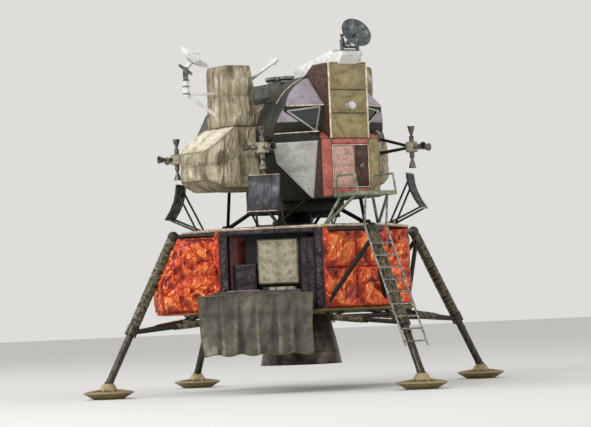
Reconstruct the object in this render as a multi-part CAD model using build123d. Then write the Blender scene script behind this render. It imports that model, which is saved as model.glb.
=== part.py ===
from build123d import *
import os
from math import atan2, cos, hypot, radians, sin, sqrt, tan

# Two-stage crewed lunar lander as it stands after landing, millimetres, +Z up.
# The origin is on the ground under the middle of the vehicle. The hatch, porch and ladder
# face -Y, so the crew's right is -X and the crew's left is +X. Each node is written where it lies.

# Descent stage: an octagon of four end bays round the engine bay, with a corner bay between each two
FACE_REACH = 2146.0          # middle of the vehicle to a main face
FACE_WIDTH = 1450.0          # width of a main face
BASE_Z = 1477.0              # underside of the base shield
DECK_Z = 3124.0              # top of the deck
BASE_THICK = 60.0            # base heat shield
DECK_THICK = 45.0            # deck panel
ENGINE_BAY = 1372.0          # square well of the descent engine
ENGINE_BAY_TOP = 2640.0      # roof of that well
BLAST_WELL_RADIUS = 520.0    # well in the deck under the ascent engine
BLAST_WELL_DEPTH = 190.0

# Corner bays
TRAY_BAY_WIDTH = 1700.0
TRAY_BAY_SILL = 1590.0
TRAY_BAY_HEAD = 2980.0
TRAY_BAY_DEPTH = 400.0
DOOR_BAY_WIDTH = 1560.0
DOOR_BAY_SILL = 1640.0
DOOR_BAY_HEAD = 2900.0
DOOR_BAY_DEPTH = 520.0
DOOR_LAP = 40.0              # door beyond its opening at each side
DOOR_THICK = 40.0
DOOR_HINGE_OUT = 26.0        # hinge line off the corner face
DOOR_HINGE_RISE = 34.0       # and above the door's upper edge
DOOR_PIN = 20.0
GAP = 0.3                    # running clearance between faces that only rest on each other
SHUT_GAP = 8.0               # gap round a door or hatch leaf
CHIP_VOLUME = 2000.0         # the largest chip that trimming leaves
DOOR_SILL_LAP = 60.0         # door below its opening
DOOR_HEAD_LAP = 30.0         # and above it
DOOR_STAND = 3.0             # door off the corner face
DOOR_KNUCKLE_IN = 90.0       # ends of its hinge tube inside its edges
DOOR_LUG_IN = 40.0           # outer faces of the lugs
DOOR_LUG_WIDTH = 30.0
LUG_BEYOND = 18.0            # lug past the middle of the pin it carries
DOOR_WEB_HALF = 12.0

# Equipment tray, which stands open on its hinge, and what is on it and behind it
TRAY_HINGE_OUT = 60.0
TRAY_HINGE_Z = 1575.0
TRAY_LENGTH = 1180.0
TRAY_THICK = 130.0
TRAY_WIDTH = 1660.0
TRAY_HEEL = 40.0             # pan from the hinge line
TRAY_EDGE = 36.0             # upturned edge of the pan
TRAY_SHEET = 40.0            # bottom of the pan
TRAY_SKIN = 30.0             # how far the pan's outer face lies outside the hinge line when shut
TRAY_OPEN = 78.0             # how far the tray stands from shut
TRAY_KNUCKLE = 56.0
TRAY_KNUCKLE_IN = 60.0
TRAY_WEB_HALF = 14.0
TRAY_PIN = 26.0
TRAY_LUG_IN = 10.0
TRAY_LUG_WIDTH = 30.0
TRAY_LUG_HALF = 28.0
# Each package on the tray: middle, size and depth
TRAY_PACKAGES = ((-480.0, 330.0, 460.0, 380.0, 210.0), (150.0, 330.0, 560.0, 380.0, 170.0),
                 (-300.0, 800.0, 620.0, 330.0, 150.0), (420.0, 800.0, 460.0, 330.0, 190.0))
# Each box in the bay: sides, heights and front
BAY_BOXES = ((-310.0, 470.0, 2038.0, 2886.0, -178.0), (-800.0, -360.0, 1620.0, 2430.0, -190.0),
             (520.0, 810.0, 1660.0, 2900.0, -186.0), (-240.0, 420.0, 1600.0, 1980.0, -200.0))
DRAPE_DROP = 1130.0
DRAPE_WIDTH = 2180.0
DRAPE_THICK = 60.0           # blanket with its folds

# Descent engine
GIMBAL_Z = 2470.0
THROAT_Z = 2330.0
THROAT_RADIUS = 112.0
BELL_WAIST_Z = 1500.0
BELL_WAIST_RADIUS = 535.0
BELL_EXIT_Z = 470.0
BELL_EXIT_RADIUS = 780.0
BELL_WALL = 14.0
BELL_UPPER_MIDDLE = (360.0, 1980.0)    # radius and height half way down each curve
BELL_LOWER_MIDDLE = (676.0, 980.0)
CHAMBER_WALL = 50.0
CHAMBER_RISE = 40.0          # chamber above the gimbal
PIVOT_ROOT = 120.0           # middle of the engine to the root of a pivot
PIVOT_BOSS = 60.0
PIVOT_GAP = 6.0
PIVOT_PAST = 10.0            # pivot past the middle of the ring
ENGINE_BLOCK = 560.0         # plain block of the engine head
RING_RADIUS = 300.0
RING_TUBE = 60.0
PIVOT_RADIUS = 22.0
RING_FLANGE = 40.0           # ring taller than wide
RING_PIN_LENGTH = 120.0
MOUNT_GAP = 8.0              # mount off the ring
MOUNT_REACH = 130.0
MOUNT_HALF = 50.0
ENGINE_BLOCK_RISE = 110.0    # foot of the block above the gimbal

# Landing radar under the stage, drawn about the middle of its tilt shaft
LANDING_RADAR_OUT = 1080.0
LANDING_RADAR_DROP = 95.0    # shaft below the base shield
LANDING_PANEL_HALF_X = 260.0
LANDING_PANEL_HALF_Y = 230.0
LANDING_PANEL_THICK = 90.0
LANDING_PANEL_DROP = 40.0    # panel below the shaft
LANDING_SHAFT_DIAMETER = 50.0
LANDING_SHAFT_HALF = 230.0
LANDING_WEB_HALF_X = 200.0
LANDING_WEB_HALF_Y = 18.0
LANDING_WEB_SINK = 20.0
LANDING_PIN = 24.0
LANDING_PIN_HALF = 290.0
LANDING_LUG_WIDTH = 45.0
LANDING_LUG_HALF = 30.0
LANDING_LUG_LOW = 25.0

# Landing gear, drawn for the front leg and turned for the others
STRUT_TOP_REACH = 2743.0
STRUT_TOP_Z = 3010.0
PAD_REACH = 4242.0           # tread radius
ANKLE_Z = 262.0
STRUT_DIAMETER = 182.0
PISTON_DIAMETER = 142.0
KNEE_SHARE = 0.65            # how far down the primary strut the outer tube ends
SIDE_STRUT_DIAMETER = 112.0
SIDE_PISTON_DIAMETER = 84.0
TRUSS_DIAMETER = 88.0
TRUSS_BAR_REACH = 2268.0
TRUSS_BAR_Z = 1372.0
PAD_DIAMETER = 940.0
PAD_HEIGHT = 176.0
PAD_RIM_Z = 108.0
PAD_SOLE_DIAMETER = 560.0
PAD_RIM_THICK = 26.0
COLLAR_RISE = 130.0          # collar above the knee
COLLAR_DROP = 60.0           # and below it
COLLAR_STEP = 44.0           # wider than the outer tube
HEAD_BALL_STEP = 36.0
ANKLE_BALL_STEP = 34.0
SOCKET_WALL = 26.0
SOCKET_SKIRT = 60.0
SOCKET_SKIRT_DROP = 20.0
FITTING_BALL_STEP = 24.0
TRUSS_END_IN = 60.0          # ends of the cross tube inside the corners of a main face
TRUSS_FOOT_IN = 90.0         # where its links meet the base shield, inside the face
TRUSS_FOOT_SINK = 6.0
TRUSS_LINK_DIAMETER = 70.4
TRUSS_BRACE_DIAMETER = 52.8
TRUSS_BRACE_X = 200.0
OUTRIGGER_FOOT_IN = 70.0     # feet of the outrigger inside the corners of a main face
OUTRIGGER_FOOT_SINK = 30.0
OUTRIGGER_HEAD_DROP = 60.0
OUTRIGGER_FOOT_RISE = 90.0
OUTRIGGER_LOW = 150.0        # where its lower tubes meet the strut, from the strut's head

# Film-covered fairing between the crew's right face and its leg
BLANKET_FOOT_Z = 1560.0
BLANKET_KNEE_Z = 2130.0
BLANKET_TOP_Z = 2930.0
BLANKET_HALF_WIDTH = 590.0
BLANKET_EDGE_HALF_WIDTH = 130.0
BLANKET_STRUT_GAP = 14.0
BLANKET_FOOT_IN = 40.0

# Ladder and porch
LADDER_WIDTH = 480.0
RUNG_PITCH = 229.0
RUNG_COUNT = 9
RUNG_DIAMETER = 32.0
RAIL_DIAMETER = 40.0
LADDER_STANDOFF = 190.0
LADDER_FOOT_Z = 800.0
PORCH_WIDTH = 813.0
PORCH_LENGTH = 900.0
PORCH_TOP_Z = 3690.0
PORCH_THICK = 70.0
PORCH_RAIL_RISE = 330.0
LADDER_BEND_Z = 3060.0
BRACKET_RUNGS = (1, 7)
BRACKET_DIAMETER = 48.0
BRACKET_DROP = 40.0
FIRST_RUNG_RISE = 80.0       # first rung above the foot of the rails
LADDER_LIP_IN = 60.0         # head of the rails inside the porch's front edge
RAIL_SINK = 8.0              # porch rail into the edge of the platform
RAIL_FOOT_IN = 30.0          # porch rail's front foot, from the front edge
RAIL_FRONT_IN = 120.0        # and the top corner over it
RAIL_BACK_IN = 160.0         # top corner, from the back edge
RAIL_HEEL_IN = 60.0          # and the foot under it
PORCH_STRUT_DIAMETER = 56.0
PORCH_STRUT_SINK = 40.0      # ends of the porch struts inside what they meet
PORCH_STRUT_SIDE_IN = 60.0
PORCH_STRUT_BACK_IN = 160.0
PORCH_STRUT_FRONT_IN = 200.0
PORCH_FOOT_SIDE_IN = 120.0
PORCH_FOOT_IN = 110.0
PORCH_GAP = 12.0             # platform off the hatch block

# Crew cabin: a barrel lying fore and aft, its lower sides drawn in to the floor
CABIN_RADIUS = 1240.0
CABIN_AXIS_Z = 4790.0
CABIN_BACK_Y = -690.0
CABIN_FRONT_Y = -1200.0      # seam between the barrel and the front assembly
CABIN_KNEE_X = 1150.0
CABIN_KNEE_Z = 4330.0
CABIN_SILL_X = 660.0
CABIN_BOTTOM_Z = 3620.0
WALL = 50.0                  # pressure skin with its blanket
FLOOR_TOP_Z = 3775.0
FLOOR_THICK = 40.0

# Front of the cabin: hatch block below, upright band above it, and three facets at each side
NOSE_Y = -2110.0             # hatch block and band
HATCH_BLOCK_HALF = 640.0
HATCH_BLOCK_TOP_Z = 4740.0
BAND_HALF = 430.0
BAND_TOP_Z = 6180.0
BAND_CREST_Y = -1560.0       # where the top of the band starts to slope back to the barrel
BAND_SINK = 60.0             # its foot there below the crown of the barrel
SLOPE_RISE = 20.0            # slope over the hatch block: how far it meets the window facet above the cheek
SLOPE_DROP = 300.0           # how far below the cheek's top it is cut
SLOPE_TOP = 60.0             # and above it
BROW_Z = 5400.0              # lower edge of the brow over a window
BROW_Y = -1930.0             # that edge beside the band
BROW_SIDE_Y = -1500.0        # that edge at the side of the cabin
BROW_LEAN = 1.0              # how far the brow leans back for its rise
WINDOW_DEPTH = 25.0          # window facet behind the brow edge
WINDOW_TUCK = 140.0          # how far the foot of the window facet lies behind its head
CHEEK_Z = 4880.0             # ledge over the lower cheek
CHEEK_Y = -2050.0
CHEEK_SIDE_Y = -1290.0
CHEEK_FOOT_Y = -1752.0       # lower cheek beside the hatch block, at its foot
CHEEK_FOOT_Z = 3507.0
WINDOW_CORNERS = ((505.0, 5345.0), (1000.0, 5290.0), (520.0, 4945.0))
WINDOW_CORNER_RADIUS = 30.0
PANE_SET_BACK = 18.0
PANE_THICK = 14.0

# Midsection, hatches and docking tunnel
MID_HALF_X = 700.0
MID_BACK_Y = 690.0
MID_BOTTOM_Z = 3420.0
MID_TOP_Z = 5650.0
# Outside and inside of the ascent engine's nozzle: radius, drop from the top of its recess
ASCENT_BELL_OUTER = [(240.0, 0.0), (240.0, 60.0), (120.0, 100.0), (250.0, 280.0), (340.0, 440.0), (370.0, 600.0)]
ASCENT_BELL_INNER = [(350.0, 600.0), (230.0, 300.0), (90.0, 120.0), (0.0, 120.0)]
ENGINE_CAN_RISE = 240.0      # recess of the ascent engine in the midsection's underside
ENGINE_CAN_RADIUS = 300.0
HATCH_SIZE = 813.0
HATCH_SILL_Z = 3812.0
HATCH_FLANGE = 28.0
HATCH_HINGE_OUT = 64.0       # hinge line outside the edge of the opening
HATCH_HINGE_BACK = 40.0      # and behind the inner face of the wall
HATCH_HINGE_SPREAD = 240.0   # each hinge from mid height
HATCH_LAP = 20.0             # flange beyond the opening
HATCH_FACE_IN = 6.0          # outer face of the leaf behind the hatch block
KNUCKLE_HALF = 45.0
KNUCKLE_DIAMETER = 36.0
KNUCKLE_ARM_HALF = 8.0       # half the thickness of the arm that carries a knuckle
KNUCKLE_ARM_IN = 30.0
KNUCKLE_PAD = 60.0
HINGE_PIN = 18.0
PIN_HALF = 70.0
PIN_LUG = 18.0               # thickness of a pin's lug
PIN_LUG_OUT = 16.0           # lug from the pin's axis, outward
PIN_LUG_IN = 12.0            # inward
PIN_LUG_PAST = 12.0          # and past it
TUNNEL_BORE = 813.0
TUNNEL_WALL = 40.0
TUNNEL_RING = 46.0           # docking ring beyond the tunnel wall
TUNNEL_TOP_Z = 6084.0
ROOF_CROWN_HALF = 530.0
ROOF_CROWN_Z = 5954.0
TOP_HATCH_DIAMETER = 838.0
TOP_HATCH_THICK = 46.0
TOP_HATCH_BOSS = 40.0        # depth of the boss in the middle of the hatch
TOP_HATCH_BOSS_RADIUS = 150.0
TOP_HINGE_OUT = 50.0         # hinge line outside the hatch
TOP_HINGE_HALF = 90.0
TOP_ARM_LENGTH = 80.0
TOP_ARM_HALF = 12.0
TOP_LUG = 20.0
TOP_LUG_GAP = 5.0
TOP_LUG_HALF = 16.0
TUNNEL_RING_RISE = 50.0      # height of the docking ring
TUNNEL_RING_SLOPE = 30.0     # and of the cone under it

# Tank bays at the sides, with the thruster tank columns on them
BAY_HALF_Y = 620.0
BAY_BOTTOM_Z = 3900.0
BAY_TUCK = 330.0             # underside facet, inward
BAY_TUCK_RISE = 160.0        # and up
BAY_EAVE_Z = 4620.0
BAY_SHOULDER_Z = 5080.0
BAY_CORNER = 170.0           # upright corner facets
RIGHT_BAY_REACH = 2250.0
LEFT_BAY_REACH = 1880.0
COLUMN_INNER_X = 1118.0
COLUMN_OUTER_X = 1650.0
COLUMN_HALF_Y = 480.0
COLUMN_TOP_HALF_Y = 350.0
COLUMN_SLOPE_Z = 5880.0
COLUMN_TOP_Z = 6280.0
COLUMN_CORNER = 110.0
BAY_ROOF_Z = 5560.0          # roof of a bay beside the midsection
BAY_ROOF_LOW_Z = 5330.0      # and beside the column
BAY_ROOF_LAP = 20.0          # roof into the thruster tank column
BAY_ROOF_HALF_Y = 560.0

# Aft equipment bay, carried off the midsection
AFT_BAY_FRONT_Y = 1480.0
AFT_BAY_BACK_Y = 2060.0
AFT_BAY_HALF_X = 1120.0
AFT_BAY_BOTTOM_Z = 3960.0
AFT_BAY_TOP_Z = 5640.0
AFT_BAY_SHOULDER_Z = 4860.0  # its upper corners are cut back from here
AFT_BAY_CROWN_HALF = 700.0
AFT_BAY_FRONT_RISE = 160.0   # its front face starts this far above its lowest edge
AFT_BAY_TOP_BEVEL = (120.0, 160.0)     # inward and down
AFT_BAY_FOOT_BEVEL = (200.0, 240.0)    # inward and up
RACK_DIAMETER = 60.0
RACK_BRACE_DIAMETER = 46.0
RACK_IN = 80.0               # rack tubes inside the sides of the midsection
RACK_SINK = 20.0
RACK_LEVELS = ((4200.0, 500.0), (5300.0, -500.0))      # height of a rack tube, and the rise of its brace
HELIUM_SPHERE = (280.0, 4480.0, 560.0)                 # out, height, diameter
OXYGEN_SPHERE = (240.0, 5120.0, 320.0)
SPHERE_STEM_DIAMETER = 50.0

# Struts between the stages
STAGE_FITTING_REACH = 980.0
STAGE_FITTING_SIZE = 160.0
STAGE_FITTING_RISE = 110.0
STAGE_STRUT_DIAMETER = 80.0
STAGE_BRACE_DIAMETER = 64.0
STAGE_STRUT_IN = 60.0        # end of a strut inside the hull it meets
STAGE_FRONT_RUN = 520.0      # forward strut, from the fitting
STAGE_END_IN = 100.0         # its end inside the sill of the cabin
STAGE_AFT_RUN = 80.0         # aft strut, into the aft bay
STAGE_AFT_RISE = 260.0
STAGE_INNER_RUN = 380.0      # strut to the midsection
STAGE_SIDE_OUT = 270.0       # brace to the tank bay
STAGE_SIDE_RUN = 600.0

# Thruster clusters
QUAD_REACH = 1680.0
QUAD_Z = 4598.0
NOZZLE_EXIT_RADIUS = 73.0
NOZZLE_LENGTH = 343.0
NOZZLE_CAN_RADIUS = 45.99    # chamber
NOZZLE_CAN_LENGTH = 144.06
NOZZLE_THROAT_AT = 171.5     # from the root of the nozzle
NOZZLE_FLOOR_AT = 181.79
NOZZLE_WAIST_AT = 260.68     # half way down the bell
NOZZLE_WAIST_RADIUS = 52.56
NOZZLE_LIP = 8.0
NOZZLE_WALL = 10.0
CLUSTER_TALLER = 10.0        # housing taller than wide
NOZZLE_STAND = 60.0          # root of a nozzle off the middle of its cluster
CLUSTER_SIZE = 190.0
BOOM_DIAMETER = 58.0
BOOM_ROOT_IN = 70.0          # roots of the forward booms inside the knee of the cabin
BOOM_DROP = 120.0            # their two lower roots below the cluster
BOOM_RISE = 260.0            # and the upper one above it
BOOM_BACK = 110.0            # stations of those roots, off the bulkhead and off the front seam
BOOM_MIDDLE = 150.0
BOOM_FRONT = 40.0
AFT_BOOM_IN = 60.0           # roots of the aft booms inside the side of the aft bay
AFT_BOOM_RISE = 200.0
AFT_BOOM_DROP = 300.0
AFT_BOOM_BACK = 220.0
AFT_BOOM_FRONT = 80.0
DEFLECTOR_TOP = (-70.0, -508.0)        # out and up from the cluster
DEFLECTOR_MIDDLE = (-10.0, -838.0)
DEFLECTOR_END = (190.0, -1198.0)
DEFLECTOR_THICK = 24.0
DEFLECTOR_HALF_WIDTH = 300.0
DEFLECTOR_STRUT_DIAMETER = 40.0
DEFLECTOR_FOOT_SPREAD = 260.0
DEFLECTOR_FOOT_IN = 90.0     # feet of its struts inside the corner face
DEFLECTOR_FOOT_BLOCK = 80.0
DEFLECTOR_HOLD = 60.0        # struts end this far behind and inside the edges of the sheet
DEFLECTOR_HOLD_SPREAD = 234.0
DEFLECTOR_CROSS_DIAMETER = 32.0

# Radar, antennas
RADAR_Y = -2230.0
RADAR_Z = 6575.0
RADAR_DISH_RADIUS = 305.0
STEER_X = -2300.0
STEER_Y = 60.0
STEER_Z = 6230.0
STEER_DISH_RADIUS = 330.0
RADAR_TILT = 62.0            # from straight up, forward
STEER_TURN = 59.0            # head turned about Z
STEER_TILT = 38.0
RADAR_DISH_DEPTH = 110.0
STEER_DISH_DEPTH = 120.0
RADAR_FRAME_HALF = 150.0
STEER_FRAME_HALF = 150.0
RADAR_DROP = 190.0
STEER_DROP = 190.0
HEAD_RISE = 190.0            # axes of a head to the vertex of its dish
HEAD_NECK_RADIUS = 48.0
HEAD_BAR = 30.0
HEAD_PIN = 30.0
HEAD_PIN_SHORT = 6.0         # inner pins end short of the ring's outer edge
HEAD_PIN_ROOT = 4.0          # outer pins start inside it
HEAD_EAR_GAP = 8.0           # ears off the ring
HEAD_TAIL = 70.0             # neck behind the axes
HEAD_EAR_HALF = 45.0
HEAD_EAR_TOP = 34.0
HEAD_RING_HALF_THICK = 22.0
FEED_ROD_RADIUS = 13.0
FEED_RISE = 210.0
FEED_CUP_RADIUS = 36.0
FEED_CUP_DEPTH = 26.0
PIN_GAP = 0.05
DISH_WALL = 8.0
DISH_BOW = 0.27              # bow of the arc to the depth of the dish, which puts it close to a parabola
FAIRING_HALF = 210.0         # radar fairing over the cabin roof
FAIRING_BACK_Y = -505.0
FAIRING_BACK_Z = 6190.0
FAIRING_CREST_Y = -1950.0
FAIRING_CREST_Z = 6440.0
FAIRING_OVERHANG = 60.0      # radar shelf beyond the axis of its shaft
FAIRING_LIP = 80.0           # depth of that shelf
FAIRING_SINK = 20.0          # foot of the fairing below the crown of the roof
FAIRING_HEEL = (10.0, 40.0)  # where its underside meets the band, inward and down from the band's top edge
MAST_DIAMETER = 70.0
MAST_HEAD_RADIUS = 60.0
MAST_HEAD_LENGTH = 340.0
MAST_SPREAD = 420.0          # height of the mast's two feet apart
MAST_ROOT_IN = 30.0
MAST_ARM_RISE = 40.0         # arm above the foot of the post
MAST_BRACE_RISE = 60.0
MAST_BRACE_DIAMETER = 50.0
WHIP_DIAMETER = 60.0
WHIP_CONE_RADIUS = 62.0
WHIP_CONE_LENGTH = 130.0
WHIP_CONE_LAP = 10.0
SLANT_WHIP = ((-1160.0, 20.0, 5860.0), (-737.0, -620.0, 6320.0))
LEFT_WHIP = ((1384.0, 200.0, 6270.0), (1384.0, 200.0, 6620.0))
BAND_WHIP = ((340.0, -2030.0, 6170.0), (340.0, -2030.0, 6330.0))
LAMP_Z = 5360.0
LAMP_DIAMETER = 170.0
LAMP_DEPTH = 130.0
LAMP_BOWL_DIAMETER = 119.0
LAMP_BOWL_DEPTH = 45.0

HALF_FACE = FACE_WIDTH / 2
CORNER_REACH = (FACE_REACH + HALF_FACE) / sqrt(2)      # middle of the vehicle to a corner face
INNER_BASE_Z = BASE_Z + BASE_THICK
INNER_DECK_Z = DECK_Z - DECK_THICK
QUARTERS = (0, 90, 180, 270)
PORCH_BACK_Y = NOSE_Y - PORCH_GAP
PORCH_FRONT_Y = PORCH_BACK_Y - PORCH_LENGTH
STRUT_RUN = Vector(0, -(PAD_REACH - STRUT_TOP_REACH), ANKLE_Z - STRUT_TOP_Z)
STRUT_TOP = Vector(0, -STRUT_TOP_REACH, STRUT_TOP_Z)
STRUT_DIRECTION = STRUT_RUN.normalized()
KNEE = STRUT_TOP + STRUT_RUN * KNEE_SHARE
ANKLE = STRUT_TOP + STRUT_RUN
LADDER_OUT = Vector(0, STRUT_DIRECTION.Z, -STRUT_DIRECTION.Y) * LADDER_STANDOFF
LANDING_RADAR = Pos(LANDING_RADAR_OUT, LANDING_RADAR_OUT, BASE_Z - LANDING_RADAR_DROP)
RADAR_PLACE = Pos(0, RADAR_Y, RADAR_Z)
RADAR_HEAD = RADAR_PLACE * Rot(RADAR_TILT, 0, 0)
STEER_PLACE = Pos(STEER_X, STEER_Y, STEER_Z) * Rot(0, 0, STEER_TURN)
STEER_HEAD = STEER_PLACE * Rot(STEER_TILT, 0, 0)


def across(y):
    """Upright plane at station y seen from the front: local x to crew's left, local y up, out is forward."""
    return Plane(origin=(0, y, 0), x_dir=(1, 0, 0), z_dir=(0, -1, 0))


def corner_plane(turn, out=0.0):
    """Upright plane on a corner face, turned about Z from the front right corner of the plan (+X, -Y)."""
    angle = radians(turn - 45)
    reach = CORNER_REACH + out
    origin = (reach * cos(angle), reach * sin(angle), 0)
    return Plane(origin=origin, x_dir=(-sin(angle), cos(angle), 0), z_dir=(cos(angle), sin(angle), 0))


def tube(start, end, diameter):
    """A straight round bar between two points with square ends."""
    a = Vector(*start)
    run = Vector(*end) - a
    return extrude(Plane(origin=a, z_dir=run.normalized()) * Circle(diameter / 2), run.length)


def ball(centre, diameter):
    """A ball about a point."""
    return Pos(*centre) * Sphere(diameter / 2)


def slab(x0, x1, y0, y1, z0, z1):
    """A block by its limits along each axis."""
    middle = ((x0 + x1) / 2, (y0 + y1) / 2, (z0 + z1) / 2)
    return Pos(*middle) * Box(abs(x1 - x0), abs(y1 - y0), abs(z1 - z0))


def prism(points, z0, z1):
    """An upright prism on a plan outline."""
    return Pos(0, 0, z0) * extrude(make_face(Polyline(*points, close=True)), z1 - z0)


def side_run(points, x0, x1):
    """A prism from one station to another along X, on (y, z) points."""
    plane = Plane(origin=(x0, 0, 0), x_dir=(0, 1, 0), z_dir=(1, 0, 0))
    return extrude(plane * make_face(Polyline(*points, close=True)), x1 - x0)


def front_run(points, half):
    """A prism from -half to half along Y, on (x, z) points."""
    return extrude(Plane.XZ * make_face(Polyline(*points, close=True)), half, both=True)


def beyond(points, inset=0.0):
    """Block of everything forward of the plane through three points, the plane moved inward by inset."""
    a = Vector(*points[0])
    along = (Vector(*points[1]) - a).normalized()
    out = along.cross(Vector(*points[2]) - a).normalized()
    if out.Y > 0:
        out = out * -1
    far = 2 * PAD_REACH
    return extrude(Plane(origin=a - out * inset, x_dir=along, z_dir=out) * Rectangle(far, far), far)


def fused(pieces):
    """One body from pieces that overlap or touch."""
    whole = pieces[0]
    for piece in pieces[1:]:
        whole = whole + piece
    return whole


def revolved(points, centre=(0, 0, 0)):
    """A turned piece about the vertical through centre, from (radius, height) points."""
    profile = make_face(Polyline(*[(r, 0, z) for r, z in points], close=True))
    return Pos(*centre) * revolve(profile, Axis.Z)


def octagon(shrink=0.0):
    """Plan outline of the descent stage."""
    f = FACE_REACH - shrink
    h = HALF_FACE - shrink * tan(radians(22.5))
    return [(f, -h), (f, h), (h, f), (-h, f), (-f, h), (-f, -h), (-h, -f), (h, -f)]


# Descent stage structure

def end_bays():
    """The cross of four end bays, each its own insulated box, round the roofed well of the descent engine."""
    z0 = INNER_BASE_Z
    z1 = INNER_DECK_Z
    well = ENGINE_BAY / 2
    bays = []
    for side in (-1, 1):
        bays.append(slab(-HALF_FACE, HALF_FACE, side * well, side * FACE_REACH, z0, z1))
        narrow = slab(side * well, side * FACE_REACH, GAP - well, well - GAP, z0, z1)
        bays.append(narrow + slab(side * (HALF_FACE + GAP), side * FACE_REACH, -HALF_FACE, HALF_FACE, z0, z1))
    roof = slab(GAP - well, well - GAP, GAP - well, well - GAP, ENGINE_BAY_TOP, z1)
    roof = roof - Pos(0, 0, DECK_Z - BLAST_WELL_DEPTH) * extrude(Circle(BLAST_WELL_RADIUS), BLAST_WELL_DEPTH)
    return bays + [roof]


def corner_prism(turn, z0, z1):
    """A closed triangular corner bay between two end bays."""
    points = [(HALF_FACE, -HALF_FACE), (HALF_FACE, -FACE_REACH), (FACE_REACH, -HALF_FACE)]
    return Rot(0, 0, turn) * prism(points, z0, z1)


def corner_box(turn, width, z0, z1, depth, out=0.0):
    """A block centred on a corner face, from the face plane (moved out) inward by depth."""
    face = Pos(0, (z0 + z1) / 2) * Rectangle(width, z1 - z0)
    return extrude(corner_plane(turn, out) * face, -depth)


def closed_corner():
    """The corner bay at the crew's right aft, shut by its panel."""
    return Pos(-GAP, GAP, 0) * corner_prism(180, INNER_BASE_Z, INNER_DECK_Z)


def tray_corner():
    """The front right corner bay, open where the equipment tray has folded down."""
    bay = corner_prism(270, INNER_BASE_Z, INNER_DECK_Z)
    return bay - corner_box(270, TRAY_BAY_WIDTH, TRAY_BAY_SILL, TRAY_BAY_HEAD, TRAY_BAY_DEPTH)


def door_corner():
    """The aft left corner bay that holds the experiment packages behind a lifting door."""
    bay = corner_prism(90, INNER_BASE_Z, INNER_DECK_Z)
    return bay - corner_box(90, DOOR_BAY_WIDTH, DOOR_BAY_SILL, DOOR_BAY_HEAD, DOOR_BAY_DEPTH)


def deck():
    """Top panel of the descent stage, open over the blast well."""
    plate = prism(octagon(), INNER_DECK_Z, DECK_Z)
    return plate - Pos(0, 0, INNER_DECK_Z) * extrude(Circle(BLAST_WELL_RADIUS), DECK_THICK)


def base_shield():
    """Heat shield under the stage in four panels round the engine well: two full width, one at each side."""
    plate = prism(octagon(), BASE_Z, INNER_BASE_Z)
    well = ENGINE_BAY / 2
    panels = []
    for side in (-1, 1):
        panels.append(plate & slab(-FACE_REACH, FACE_REACH, side * well, side * FACE_REACH, BASE_Z, INNER_BASE_Z))
        panels.append(plate & slab(side * well, side * FACE_REACH, GAP - well, well - GAP, BASE_Z, INNER_BASE_Z))
    return panels


# Landing gear

def four_legs(piece):
    """One piece of the front leg turned round to all four legs, as solids that don't touch."""
    return Compound(children=[Rot(0, 0, turn) * piece for turn in QUARTERS])


def primary_strut():
    """Shock strut of a leg: the outer tube with its collars, and the piston down to the ankle ball."""
    upper = tube(STRUT_TOP, KNEE, STRUT_DIAMETER)
    piston = tube(KNEE, ANKLE, PISTON_DIAMETER)
    collar_top = KNEE - STRUT_DIRECTION * COLLAR_RISE
    collar = tube(collar_top, KNEE + STRUT_DIRECTION * COLLAR_DROP, STRUT_DIAMETER + COLLAR_STEP)
    head = ball(STRUT_TOP, STRUT_DIAMETER + HEAD_BALL_STEP)
    ankle = ball(ANKLE, PISTON_DIAMETER + ANKLE_BALL_STEP)
    return fused([upper, piston, collar, head, ankle])


def footpad():
    """Dished pad: a flat sole, a skirt that rises to the rim, and the ankle socket on top."""
    rim = PAD_DIAMETER / 2
    socket = (PISTON_DIAMETER + ANKLE_BALL_STEP) / 2 + SOCKET_WALL
    points = [(0, 0), (PAD_SOLE_DIAMETER / 2, 0), (rim, PAD_RIM_Z), (rim, PAD_RIM_Z + PAD_RIM_THICK),
              (socket + SOCKET_SKIRT, PAD_HEIGHT - SOCKET_SKIRT_DROP), (socket, PAD_HEIGHT), (socket, ANKLE_Z),
              (0, ANKLE_Z)]
    body = revolved(points, (0, -PAD_REACH, 0))
    return body - ball(ANKLE, PISTON_DIAMETER + ANKLE_BALL_STEP)


def side_struts():
    """The two secondary struts of a leg, from the knee to the ends of the deployment truss."""
    pieces = []
    for side in (-1, 1):
        inner = Vector(side * (HALF_FACE - TRUSS_END_IN), -TRUSS_BAR_REACH, TRUSS_BAR_Z)
        middle = KNEE + (inner - KNEE) * 0.5
        pieces.append(tube(KNEE, middle, SIDE_PISTON_DIAMETER))
        pieces.append(tube(middle, inner, SIDE_STRUT_DIAMETER))
        pieces.append(ball(inner, SIDE_STRUT_DIAMETER + FITTING_BALL_STEP))
    whole = fused(pieces)
    return whole - primary_strut()


def deployment_truss():
    """Cross tube under a main face with its links to the lower corners of the body."""
    half = HALF_FACE - TRUSS_END_IN
    foot_y = -(FACE_REACH - TRUSS_FOOT_IN)
    foot_z = BASE_Z + TRUSS_FOOT_SINK
    bar = tube((-half, -TRUSS_BAR_REACH, TRUSS_BAR_Z), (half, -TRUSS_BAR_REACH, TRUSS_BAR_Z), TRUSS_DIAMETER)
    pieces = [bar]
    for side in (-1, 1):
        end = (side * half, -TRUSS_BAR_REACH, TRUSS_BAR_Z)
        pieces.append(tube(end, (side * half, foot_y, foot_z), TRUSS_LINK_DIAMETER))
        pieces.append(tube(end, (side * TRUSS_BRACE_X, foot_y, foot_z), TRUSS_BRACE_DIAMETER))
    whole = trimmed(fused(pieces), base_shield())
    return whole - side_struts()


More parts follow.
